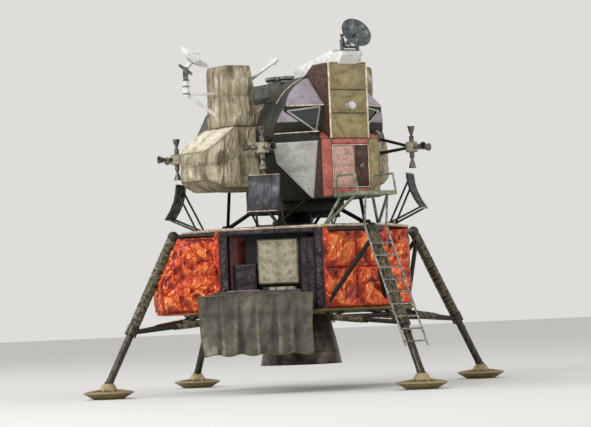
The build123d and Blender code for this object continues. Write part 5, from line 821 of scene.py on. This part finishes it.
piece("brow_panels", brows, brow_grey)
# The cheeks' light grey partly paints light from the ground.
piece("cheek_panels", cheeks, cheek_grey)
piece("band_side_shade", band_sides, brown_painted_shade)
band_front = [laid_on(standing(-424, 424, NOSE, z0, z1, 16), (0, -1500, 5400), 5, 6, 7, 220, 210 + k, hem=14)
              for k, (z0, z1) in enumerate(((4745, 5215), (5222, 5660), (5667, 6174)))]
band_front.append(laid_on(lying(-424, 424, -2104, -1564, BAND_TOP, 20), (0, -1800, 5000), 4, 6, 6, 220, 214, hem=14))
piece("band_panels", band_front, band_tan)
# Pale edge tape along the band, under the brows, on the cheeks' sills and round the rim's arches; its pale colour also
# paints the sunlit edges of the front as highlights, most of all round the arches and along the band.
edges = [bar(along([(x, NOSE - 6, 4750), (x, NOSE - 6, BAND_TOP + 2)], 120), flat_outline(36, 20, 5), up=AFT)
         for x in (-418, 418)]
edges.append(bar([(-430, NOSE - 4, BAND_TOP + 6), (430, NOSE - 4, BAND_TOP + 6)], flat_outline(24, 22, 5)))
for side in (-1, 1):
    rim = [(side * 436, -1936, BROW_LOW - 6), (side * 1062, -1603, BROW_LOW - 6)]
    sill = [(side * 646, -2050, CHEEK_TOP + 2), (side * 1222, -1318, CHEEK_TOP + 2)]
    a = np.radians(np.linspace(33, 68, 30))
    arch = together(side * (CABIN_R + 3) * np.cos(a), -1204, CABIN_Z + (CABIN_R + 3) * np.sin(a))
    edges += [bar(rim, flat_outline(16, 26, 4)), bar(sill, flat_outline(18, 20, 4)),
              bar(arch, flat_outline(34, 22, 5), up=AFT)]
piece("front_edge_strips", edges, cream_tape, closed=True)

# Hatch surround: three strips of red film and a tan one round the opening, dark brown painted shade on the sides of
# its block, and the hatch's own pale blanket, its latch half painted dark brown as shade, with its handle, which swing
# with it.
BLOCK_HALF, BLOCK_LOW, BLOCK_TOP, SILL, LINTEL = 640.0, 3640, 4740.0, 3812.0, 4625.0
STRIPS = ((-636, -412, BLOCK_LOW, BLOCK_TOP - 4), (-408, 408, LINTEL + 8, BLOCK_TOP - 4),
          (-408, 408, BLOCK_LOW, SILL - 8), (412, 636, BLOCK_LOW, BLOCK_TOP - 4))
strips = [laid_on(standing(x0, x1, NOSE, z0, z1, 13), HATCH_CORE, 4, 8, 8, 180, 220 + k, hem=16)
          for k, (x0, x1, z0, z1) in enumerate(STRIPS)]
surround, block_sides = strips[:3], []
for side in (-1, 1):
    z = np.linspace(BLOCK_LOW + 10, BLOCK_TOP, 50)[:, None]
    back = np.interp(z, [3507, 4880], [-1752, -2050])
    block_sides.append(laid_on(side_wall(side * BLOCK_HALF, 4, back, z), (0, -1900, 4200), 3, 4, 5, 180, 226 + side,
                               hem=14))
    slope = sided(side, [(436, -2104, BLOCK_TOP + 4), (636, -2104, BLOCK_TOP + 4), (636, -2040, 4795),
                         (436, -1800, 4890)], 16)
    surround.append(laid_on(slope, HATCH_CORE, 4, 6, 6, 180, 230 + side, hem=16))
piece("hatch_surround", surround, hatch_red)
piece("hatch_outer_strip", strips[3:], band_tan)
piece("hatch_block_sides", block_sides, brown_painted_shade)
ring = [(x, NOSE - 4, z) for x, z in ((-400, SILL + 6), (400, SILL + 6), (400, LINTEL - 6), (-400, LINTEL - 6),
                                      (-400, SILL + 6))]
rims = [bar(ends, flat_outline(16, 18, 4), up=AFT) for ends in pairs(ring)]
piece("hatch_rim", rims, cream_tape, closed=True)
# The hatch's latch half is painted dark brown as shade.
for name, x0, x1, film in (("hatch_blanket", -392, 84, hatch_pale), ("hatch_latch_shade", 92, 392, brown_painted_shade)):
    leaf = standing(x0, x1, NOSE + 6, SILL + 14, LINTEL - 14, 13)
    piece(name, [laid_on(leaf, HATCH_CORE, 2, 12, 9, 230, 235, hem=22, pillows=(1, 2))],
          film, body="forward_hatch")
handle = [bar([(250, NOSE + 8, 4130), (250, NOSE - 34, 4140), (250, NOSE - 34, 4290), (250, NOSE + 8, 4300)],
              round_outline(11, 10), up=(1.0, 0, 0)),
          turned([(0, 0), (46, 0), (46, 16), (30, 26), (0, 28)], (250, NOSE + 4, 4215), FORE, 24),
          turned([(0, 0), (58, 0), (58, 10), (44, 18), (0, 20)], (-120, NOSE + 4, 4430), FORE, 24)]
piece("hatch_handle", handle, ladder_metal, body="forward_hatch", smooth=True, closed=True)

# Windows: two triangular panes of coated glass, each behind a bolted frame.
glass = bpy.data.materials.new("coated window glass")
glass.use_nodes = True
tree = glass.node_tree
shader = tree.nodes["Principled BSDF"]
place = add_node(tree, "ShaderNodeTexCoord")
smear = add_node(tree, "ShaderNodeTexNoise", {"Scale": 9.0, "Detail": 2.0}, {"Vector": place.outputs["Object"]})
tint = add_node(tree, "ShaderNodeValToRGB", {"stops": [(0.3, "0C0F12"), (0.7, "1B2226")]},
                {"Fac": smear.outputs["Fac"]})
haze = add_node(tree, "ShaderNodeMapRange", {"To Min": 0.03, "To Max": 0.12}, {"Value": smear.outputs["Fac"]})
tree.links.new(tint.outputs["Color"], shader.inputs["Base Color"])
tree.links.new(haze.outputs["Result"], shader.inputs["Roughness"])
shader.inputs["IOR"].default_value = 1.5
shader.inputs["Coat Weight"].default_value = 0.6
cover(glass, "window_panes")

PANE = np.array([(488, 5362), (1030, 5300), (508, 4905)], float)
window_frames = []
for side in (-1, 1):
    for k in range(3):
        x, z = PANE[[k, (k + 1) % 3]].T
        path = together(side * x, plane_y(side, WINDOW_PLANE, side * x, z) - 5, z)
        window_frames.append(bar(path, flat_outline(34, 20, 5), up=AFT))
        for share in np.linspace(0.08, 0.92, 6):
            bolt = path[0] + (path[1] - path[0]) * share + (0, -12, 0)
            window_frames.append(turned([(9, -4), (9, 3), (5, 6), (0, 6)], bolt, FORE, 8))
piece("window_frames", window_frames, cheek_grey, closed=True)

# Tracking lamp on the band: a can with a clear dome and a polished bowl.
lamp_white = lander_finish("white lamp housing", "A9A89F C8C7BE E0DFD8", 60, 4, 0.1, 0.4, 0.1)
cover(lamp_white, "tracking_light")
lamp_rings = [turned(oval(85, 0, 7, 7), (0, y, 5360), AFT, 32) for y in (-2122, -2180, -2236)]
piece("lamp_rings", lamp_rings, tray_metal, smooth=True, closed=True)


# Tank bays and thruster-tank columns at both sides: loose quilted blankets with a tan outer layer over light frames.

# Tan inhibitor-painted film; its fold value paints cream highlights where it stands out and olive-brown shade in its
# valleys.
tan_blanket = lander_finish("tan quilted blanket", "4B4333 776B52 9C9077 BFB49A E8E0CC", 180, 8, 0.08, 0.55, 0.5,
                            fold_shading=0.68)
# The slopes and the column caps take a near-white copy of it, which paints them as lit from above.
lit_tan_blanket = lander_finish("tan quilted blanket painted lit", "7E745B AAA084 CFC6AE E9E3D2 F8F5EC", 180, 8, 0.05, 0.5, 0.5,
                              fold_shading=0.6)
cover(tan_blanket, "tank_bays")

BAY_REACHES = ((-1, 2250.0), (1, 1880.0))
BAY_INNER, BAY_HALF, TIP_HALF = 700, 620, 450
WALL_LOW, WALL_TOP, COLUMN_TOP = 3902, 5078, 6280
bay_skins, slopes = [], []
for side, reach in BAY_REACHES:
    core, column_core = (side * 1300, 0, 4600), (side * 1300, 0, 5500)
    plan = along([(BAY_INNER, -BAY_HALF), (reach - 170, -BAY_HALF), (reach, -TIP_HALF), (reach, TIP_HALF),
                  (reach - 170, BAY_HALF), (BAY_INNER, BAY_HALF)], 17)
    x, y = plan.T
    low = np.interp(x, [BAY_INNER, reach - 330, reach], [WALL_LOW, WALL_LOW, 4062])
    high = np.interp(x, [BAY_INNER, 1650, reach], [WALL_TOP, WALL_TOP, 4618])
    wall = together(side * x, y, low + np.linspace(0, 1, 70)[:, None] * (high - low))
    bay_skins.append(laid_on(wall, core, 5, 30, 22, 380, 240 + side, hem=28, pillows=(5, 2), upright=0.6))
    w = np.linspace(0, 1, 34)[:, None]
    x = reach + (1652 - reach) * w
    u = np.linspace(-1, 1, 66)
    half = np.clip(TIP_HALF + (reach - x), None, BAY_HALF) - 4
    slope = together(side * x, half * u, 4622 + (5080 - 4622) * w)
    slopes.append(laid_on(slope, core, 5, 22, 14, 280, 244 + side, hem=26, pillows=(2, 1)))
    under = along([(reach - 4, 4058), (reach - 330, 3900), (BAY_INNER + 4, 3900)], 22)
    x = under[:, :1]
    half = np.clip(TIP_HALF + (reach - x), None, BAY_HALF) - 4
    bay_skins.append(laid_on(together(side * x, half * u, under[:, 1:]), core, 4, 18, 14, 280, 248 + side, hem=26,
                             pillows=(2, 2)))
    plan = along([(1120, -480), (1540, -480), (1650, -370), (1650, 370), (1540, 480), (1120, 480)], 16)
    z = along([(5084, 0), (5878, 0), (6278, 0)], 17)[:, :1]
    limit = np.interp(z, [5080, 5880, COLUMN_TOP], [480, 480, 350])
    column = together(side * plan[:, 0], np.clip(plan[:, 1][None], -limit, limit), z)
    bay_skins.append(laid_on(column, column_core, 4, 20, 18, 340, 252 + side, hem=22, pillows=(3, 2), upright=0.45))
    cap = lying(side * 1122, side * 1648, -346, 346, COLUMN_TOP, 18)
    slopes.append(laid_on(cap, column_core, 3, 12, 10, 240, 256 + side, hem=22))
    inner = sided(side, [(1118, -476, 5300), (1118, 476, 5300), (1118, 346, 6276), (1118, -346, 6276)], 20)
    bay_skins.append(laid_on(inner, (side * 1500, 0, 5600), 4, 12, 10, 240, 258 + side, hem=22))
    roof = sided(side, [(704, -556, 5558), (1136, -556, 5332), (1136, 556, 5332), (704, 556, 5558)], 20)
    bay_skins.append(laid_on(roof, (side * 900, 0, 5000), 4, 12, 10, 240, 260 + side, hem=24, pillows=(1, 2)))
    for fore in (-1, 1):
        y = fore * 560
        end = sided(side, [(704, y, 5084), (1136, y, 5084), (1136, y, 5330), (704, y, 5556)], 18)
        bay_skins.append(laid_on(end, (side * 900, 0, 5200), 4, 8, 9, 220, 264 + side + fore, hem=20))
piece("tank_bay_blankets", bay_skins, tan_blanket)
# The slopes and the column caps wear the near-white copy: painted light.
piece("tank_bay_slopes", slopes, lit_tan_blanket)


# Midsection and roof: dark panels between the tank bays, slanted roof panels up to the tunnel, and the docking tunnel
# with its machined ring and three latches.

tunnel_metal = lander_finish("machined docking ring", "5F5E5A 7F7E79 A09F99", 90, 4, 0.7, 0.35, 0.12)
cover(tunnel_metal, "docking_tunnel")
cover(hatch_pale, "top_hatch")

MID_X, MID_Y, ROOF_HALF = 700, 690, 530
MID_LOW, MID_TOP, ROOF_TOP = 3424, 5650, 5954
MID_STEP = 22
mid_grids = [standing(4 - MID_X, MID_X - 4, MID_Y, z0, z1, MID_STEP) for z0, z1 in ((MID_LOW, 4540), (4546, 5646))]
mid_grids += [sided(side, [(MID_X, -686, MID_LOW), (MID_X, 686, MID_LOW), (MID_X, 686, 3896), (MID_X, -686, 3896)],
                    MID_STEP) for side in (-1, 1)]
mid_grids += [standing(4 - MID_X, MID_X - 4, -MID_Y, MID_LOW, 3616, MID_STEP)]
mid_grids += [lying(side * 696, side * 310, -686, 686, MID_LOW - 4, MID_STEP) for side in (-1, 1)]
mid_grids += [facet([(-MID_X, fore * MID_Y, MID_TOP), (MID_X, fore * MID_Y, MID_TOP),
                     (ROOF_HALF, fore * ROOF_HALF, ROOF_TOP), (-ROOF_HALF, fore * ROOF_HALF, ROOF_TOP)], MID_STEP)
              for fore in (-1, 1)]
mid_grids += [sided(side, [(MID_X, -MID_Y, MID_TOP), (MID_X, MID_Y, MID_TOP), (ROOF_HALF, ROOF_HALF, ROOF_TOP),
                           (ROOF_HALF, -ROOF_HALF, ROOF_TOP)], MID_STEP) for side in (-1, 1)]
mid_skins = [laid_on(grid, (0, 0, 4600), 4, 9, 8, 260, 270 + k, hem=22, pillows=(2, 1))
             for k, grid in enumerate(mid_grids)]
piece("midsection_panels", mid_skins, hull_black)
latches = [turned([(15, -3), (15, 6), (9, 12), (0, 12)], heading(30 * k + 15)[0] * 448 + UP * 6084, count=10)
           for k in range(12)]
for k in range(3):
    way, _ = heading(120 * k + 90)
    latches.append(bar([way * 488 + UP * 5990, way * 505 + UP * 6010, way * 500 + UP * 6075], flat_outline(60, 26, 6),
                       up=way))
piece("docking_latches", latches, tunnel_metal, closed=True)


# Aft equipment bay: electronics on a rack behind flat dark panels, with two silver cooling panels on its back, and
# four gas spheres before it: forged titanium halves with a welded seam. The tubes that join the stages are here too.

sphere_metal = lander_finish("forged titanium sphere", "57534D 77736B 98948B", 120, 5, 0.7, 0.35, 0.15)
cover(hull_black, "aft_bay")
cover(sphere_metal, "gas_spheres")
cover(strut_foil, "ascent_struts")

RACK_Y, COOLER_Y, SPHERE_Y = 1484, 2072, 1085
AFT_CORE = (0, 1700, 4800)


def aft_half(z):
    """Half width of the aft bay at a height: it narrows to its roof."""
    return np.interp(z, [4860, 5640], [1120, 700])


profile = along([(RACK_Y, 4118), (1860, 3962), (2060, 4202), (2060, 5478), (1940, 5638), (RACK_Y, 5638)], 22)
y, z = profile[:, :1], profile[:, 1:]
aft_shell = together(aft_half(z) * np.linspace(-1, 1, 96) * 0.997, y, z)
aft_skins = [laid_on(aft_shell, AFT_CORE, 5, 9, 8, 280, 290, hem=20, pillows=(4, 5))]
z = np.linspace(4140, 5620, 60)[:, None]
back = np.interp(z, [3960, 4200, 5480, 5640], [1860, 2056, 2056, 1940])
for side in (-1, 1):
    wall = together(side * aft_half(z), RACK_Y + (back - RACK_Y) * np.linspace(0, 1, 28), z)
    aft_skins.append(laid_on(wall, AFT_CORE, 4, 8, 8, 260, 292 + side, hem=20))
aft_skins.append(laid_on(standing(-1110, 1110, 1480, 4130, 4856, 26), AFT_CORE, 3, 8, 8, 260, 296, hem=20,
                         pillows=(3, 1)))
piece("aft_bay_panels", aft_skins, hull_black)
coolers, ribs = [], []
for x0, x1 in ((-640, -30), (30, 640)):
    coolers.append(laid_on(standing(x0, x1, COOLER_Y, 4330, 5350, 40), AFT_CORE, 6, 3, 2, 200, 298, sink=14, hem=10))
    ribs += [bar([(x0 + 16, COOLER_Y + 7, z), (x1 - 16, COOLER_Y + 7, z)], flat_outline(14, 16, 4))
             for z in np.arange(4390, 5330, 78)]
piece("aft_cooling_panels", coolers, cheek_grey)
piece("aft_cooling_ribs", ribs, ladder_metal, closed=True)
seams = []
for reach, z, radius in ((280, 4480, 280), (240, 5120, 160)):
    for x in (-reach, reach):
        seams += [turned(oval(radius, 0, 7, 7, 7), (x, SPHERE_Y, z)),
                  turned(oval(radius, 0, 4, 14, 7), (x, SPHERE_Y, z), (1.0, 0, 0))]
piece("sphere_seams", seams, ladder_metal, smooth=True, closed=True)


# Thrusters: four clusters of four, in insulated housings, with plume deflectors of thin corrugated sheet below them.

# Coated niobium nozzles: grey, darker and brown at the mouth.
nozzle_metal = lander_finish("coated thruster nozzle", "3A3631 5B5650 7E7870 A19B92", 50, 4, 0.6, 0.42, 0.15)
# Deflector sheet: nickel alloy, black-brown outside.
deflector_metal = lander_finish("dark deflector sheet", "17161A 2A282D 403D42 5C5860", 180, 6, 0.5, 0.42, 0.25)
cover(nozzle_metal, "thruster_quads")
cover(deflector_metal, "plume_deflectors")
cover(strut_metal, "deflector_struts")

CLUSTER_OUT, CLUSTER_Z = 1680.0, 4598.0
NOZZLE_RINGS = ((401, 73, 5), (322, 54, 4), (204, 46, 5))      # distance from the cluster's middle, radius, thickness
HOUSING_OUT, HOUSING = 97, ((-92, -98), (92, -98), (92, 98), (-92, 98))
ARC = np.array([(-70, -508), (-52, -676), (-10, -838), (74, -1022), (190, -1198)], float)
mouths, housings, stiffeners, lips = [], [], [], []
for sx in (-1, 1):
    for sy in (-1, 1):
        at = np.array([sx * CLUSTER_OUT, sy * CLUSTER_OUT, CLUSTER_Z])
        for way in ((0, 0, 1.0), (0, 0, -1.0), (sx, 0, 0), (0, sy, 0)):
            way = np.array(way, float)
            mouths += [turned(oval(radius, 0, thick, thick, 7), at + way * place, way, 24)
                       for place, radius, thick in NOZZLE_RINGS]
        for turn in range(4):
            out, level = heading(45 + 90 * turn)
            corners = [at + out * HOUSING_OUT + level * p + UP * q for p, q in HOUSING]
            housings.append(laid_on(facet(corners, 14), at, 3, 9, 5, 90, 300 + turn, hem=22))
        diagonal, level = np.array([sx, sy, 0]) * ACROSS_CORNER, np.array([-sy, sx, 0]) * ACROSS_CORNER
        curve = at + ARC[:, :1] * diagonal + ARC[:, 1:] * UP
        for p in (-296, -150, 0, 150, 296):
            stiffeners += [bar(curve + level * p - diagonal * 4, flat_outline(16, 20, 4), up=diagonal),
                           bar(curve + level * p * 0.98 + diagonal * 27, flat_outline(10, 8, 2), up=diagonal)]
        for d, z in ((-58, -506), (202, -1196)):
            lips.append(bar([at + diagonal * d + level * p + UP * z for p in (-302, 302)], flat_outline(34, 14, 4)))
piece("nozzle_rings", mouths, nozzle_metal, smooth=True, closed=True)
piece("cluster_housings", housings, package_cloth)
piece("deflector_ribs", stiffeners, deflector_metal, closed=True)
piece("deflector_edges", lips, cream_tape, closed=True)


# Radar and antennas. The rendezvous radar, with its grey dish, stands on a white slanted fairing over the cabin roof;
# the steerable antenna, with its white one, on a mast at the crew's right. Both dishes have ribs behind.

# Grey electronics housing paint of the radar head.
radar_grey = lander_finish("grey radar paint", "35393B 4E5355 6C7172 939899", 110, 5, 0.3, 0.42, 0.2)
cover(radar_grey, "radar_dish", "radar_yoke", "antenna_forks", "steerable_yoke")
cover(white_paint, "radar_pedestal", "steerable_mast", "steerable_dish", "whip_antennas")

DISH_RISE = 190.0      # from a dish's pivot to the middle of its shell
MAST = (-2300, 60)


def dish_trim(pivot, turn, tilt, radius, depth):
    """Rim roll, eight ribs behind and three feed legs of a dish, drawn facing up and put at its pivot, turn and
    tilt."""
    def dip(r):
        return DISH_RISE + depth * (0.42 * r / radius + 0.58 * (r / radius) ** 2)

    grids = [turned(oval(radius - 2, DISH_RISE + depth - 2, 8, 8), (0, 0, 0), count=48)]
    r = np.linspace(50, radius - 6, 7)
    for k in range(8):
        out, _ = heading(45 * k + 22.5)
        grids.append(bar(together(r * out[0], r * out[1], dip(r) - 20), flat_outline(12, 22, 3)))
    foot = 0.72 * radius
    for k in range(3):
        out, _ = heading(120 * k + 30)
        grids.append(bar([out * foot + UP * (dip(foot) - 4), out * 26 + UP * (DISH_RISE + 212)], round_outline(7, 8)))
    t, q = math.radians(tilt), math.radians(turn)
    tilted = np.array([[1, 0, 0], [0, math.cos(t), math.sin(t)], [0, -math.sin(t), math.cos(t)]])
    spun = np.array([[math.cos(q), math.sin(q), 0], [-math.sin(q), math.cos(q), 0], [0, 0, 1]])
    return [g @ tilted @ spun + np.array(pivot) for g in grids]


piece("radar_dish_trim", dish_trim((0, -2230.0, 6575.0), 0, 62, 305.0, 110.0),
      radar_grey, body="radar_dish", smooth=True, closed=True)
piece("steerable_dish_trim", dish_trim((*MAST, 6230.0), 59, 38, 330.0, 120.0),
      white_paint, body="steerable_dish", smooth=True, closed=True)
top = facet([(-206, -509, 6190), (206, -509, 6190), (206, -1946, 6440), (-206, -1946, 6440)], 18)
fairing = [laid_on(top, (0, -1200, 6000), 4, 12, 8, 240, 320, hem=20, pillows=(1, 4))]
y = np.linspace(-512, -1944, 70)
high = 6188 + (y + 505) / (-1950 + 505) * 250
low = np.interp(-y, [512, 1200, 2100], [6015, 6010, 6150])
for side in (-1, 1):
    wall = together(side * 210, y, low + np.linspace(0, 1, 16)[:, None] * (high - low))
    fairing.append(laid_on(wall, (0, -1200, 6200), 3, 7, 6, 220, 322 + side, hem=16, pillows=(4, 1)))
piece("radar_fairing_skin", fairing, white_paint)
collars = [turned([(66, -14), (70, -8), (70, 8), (66, 14), (34, 14)], (*MAST, z), count=28)
           for z in (5760, 5900, 6020)]
piece("mast_collars", collars, ladder_metal, smooth=True, closed=True)


# Camera at the photograph's viewing angle, from far off through a long lens and leaning a little, on a plain pale
# floor under soft studio light.

DISTANCE, EYE_HEIGHT, AIM_HEIGHT = 54.0, 1.5, 3.42
AZIMUTH = math.radians(-31)
LEAN = math.radians(2.3)


def placed(x, y, z, spot):
    """Matrix with three unit vectors as its axes, at a spot."""
    return Matrix([[x[k], y[k], z[k], spot[k]] for k in range(3)] + [[0, 0, 0, 1]])


camera = bpy.data.objects.new("camera", bpy.data.cameras.new("camera"))
bpy.context.scene.collection.objects.link(camera)
camera.location = (math.sin(AZIMUTH) * DISTANCE, -math.cos(AZIMUTH) * DISTANCE, EYE_HEIGHT)
look = np.array([0, 0, AIM_HEIGHT]) - np.array(camera.location)
look /= np.linalg.norm(look)
right = np.cross(look, UP)
right /= np.linalg.norm(right)
right = right * math.cos(LEAN) - np.cross(right, look) * math.sin(LEAN)
camera.matrix_world = placed(right, np.cross(right, look), -look, camera.location)
camera.data.lens = 168
camera.data.clip_end = 500
bpy.context.scene.camera = camera

FLOOR_HALF, FLOOR_Z = 150, -0.001
floor_mesh = bpy.data.meshes.new("floor")
floor_mesh.from_pydata([(-FLOOR_HALF, -FLOOR_HALF, FLOOR_Z), (FLOOR_HALF, -FLOOR_HALF, FLOOR_Z),
                        (FLOOR_HALF, FLOOR_HALF, FLOOR_Z), (-FLOOR_HALF, FLOOR_HALF, FLOOR_Z)], [], [(0, 1, 2, 3)])
floor = bpy.data.objects.new("floor", floor_mesh)
bpy.context.scene.collection.objects.link(floor)
floor_paint = bpy.data.materials.new("pale studio floor")
floor_paint.use_nodes = True
floor_paint.node_tree.nodes["Principled BSDF"].inputs["Base Color"].default_value = linear("D9D8D4")
floor_paint.node_tree.nodes["Principled BSDF"].inputs["Roughness"].default_value = 0.9
floor_mesh.materials.append(floor_paint)

world = bpy.data.worlds.new("studio")
bpy.context.scene.world = world
world.use_nodes = True
studio = world.node_tree
studio.nodes.clear()
seen = add_node(studio, "ShaderNodeLightPath")
backdrop = add_node(studio, "ShaderNodeBackground", {"Color": linear("DEDDDA"), "Strength": 1.0})
glow = add_node(studio, "ShaderNodeBackground", {"Color": (1, 1, 1, 1), "Strength": 0.72})
mirrored = add_node(studio, "ShaderNodeMath", {"operation": "ADD", "use_clamp": True},
                    {0: seen.outputs["Is Camera Ray"], 1: seen.outputs["Is Glossy Ray"]})
through = add_node(studio, "ShaderNodeMath", {"operation": "ADD", "use_clamp": True},
                   {0: mirrored.outputs[0], 1: seen.outputs["Is Transmission Ray"]})
mixed = add_node(studio, "ShaderNodeMixShader", {},
                 {"Fac": through.outputs[0], 1: glow.outputs[0], 2: backdrop.outputs[0]})
add_node(studio, "ShaderNodeOutputWorld", {}, {"Surface": mixed.outputs[0]})


def soft_lamp(name, place, size, power):
    """Square studio lamp that faces the middle of the vehicle."""
    lamp = bpy.data.objects.new(name, bpy.data.lights.new(name, "AREA"))
    bpy.context.scene.collection.objects.link(lamp)
    lamp.data.size = size
    lamp.data.energy = power
    back = np.array(place, float) - np.array([0, 0, 3.0])
    back /= np.linalg.norm(back)
    side = np.cross(UP, back)
    side /= np.linalg.norm(side)
    lamp.matrix_world = placed(side, np.cross(back, side), back, place)


soft_lamp("key", (-27, -12, 21), 14, 5200)
soft_lamp("fill", (18, -30, 14), 18, 2000)
soft_lamp("rim", (-20, 30, 24), 14, 4200)

bpy.context.scene.view_settings.view_transform = "Standard"
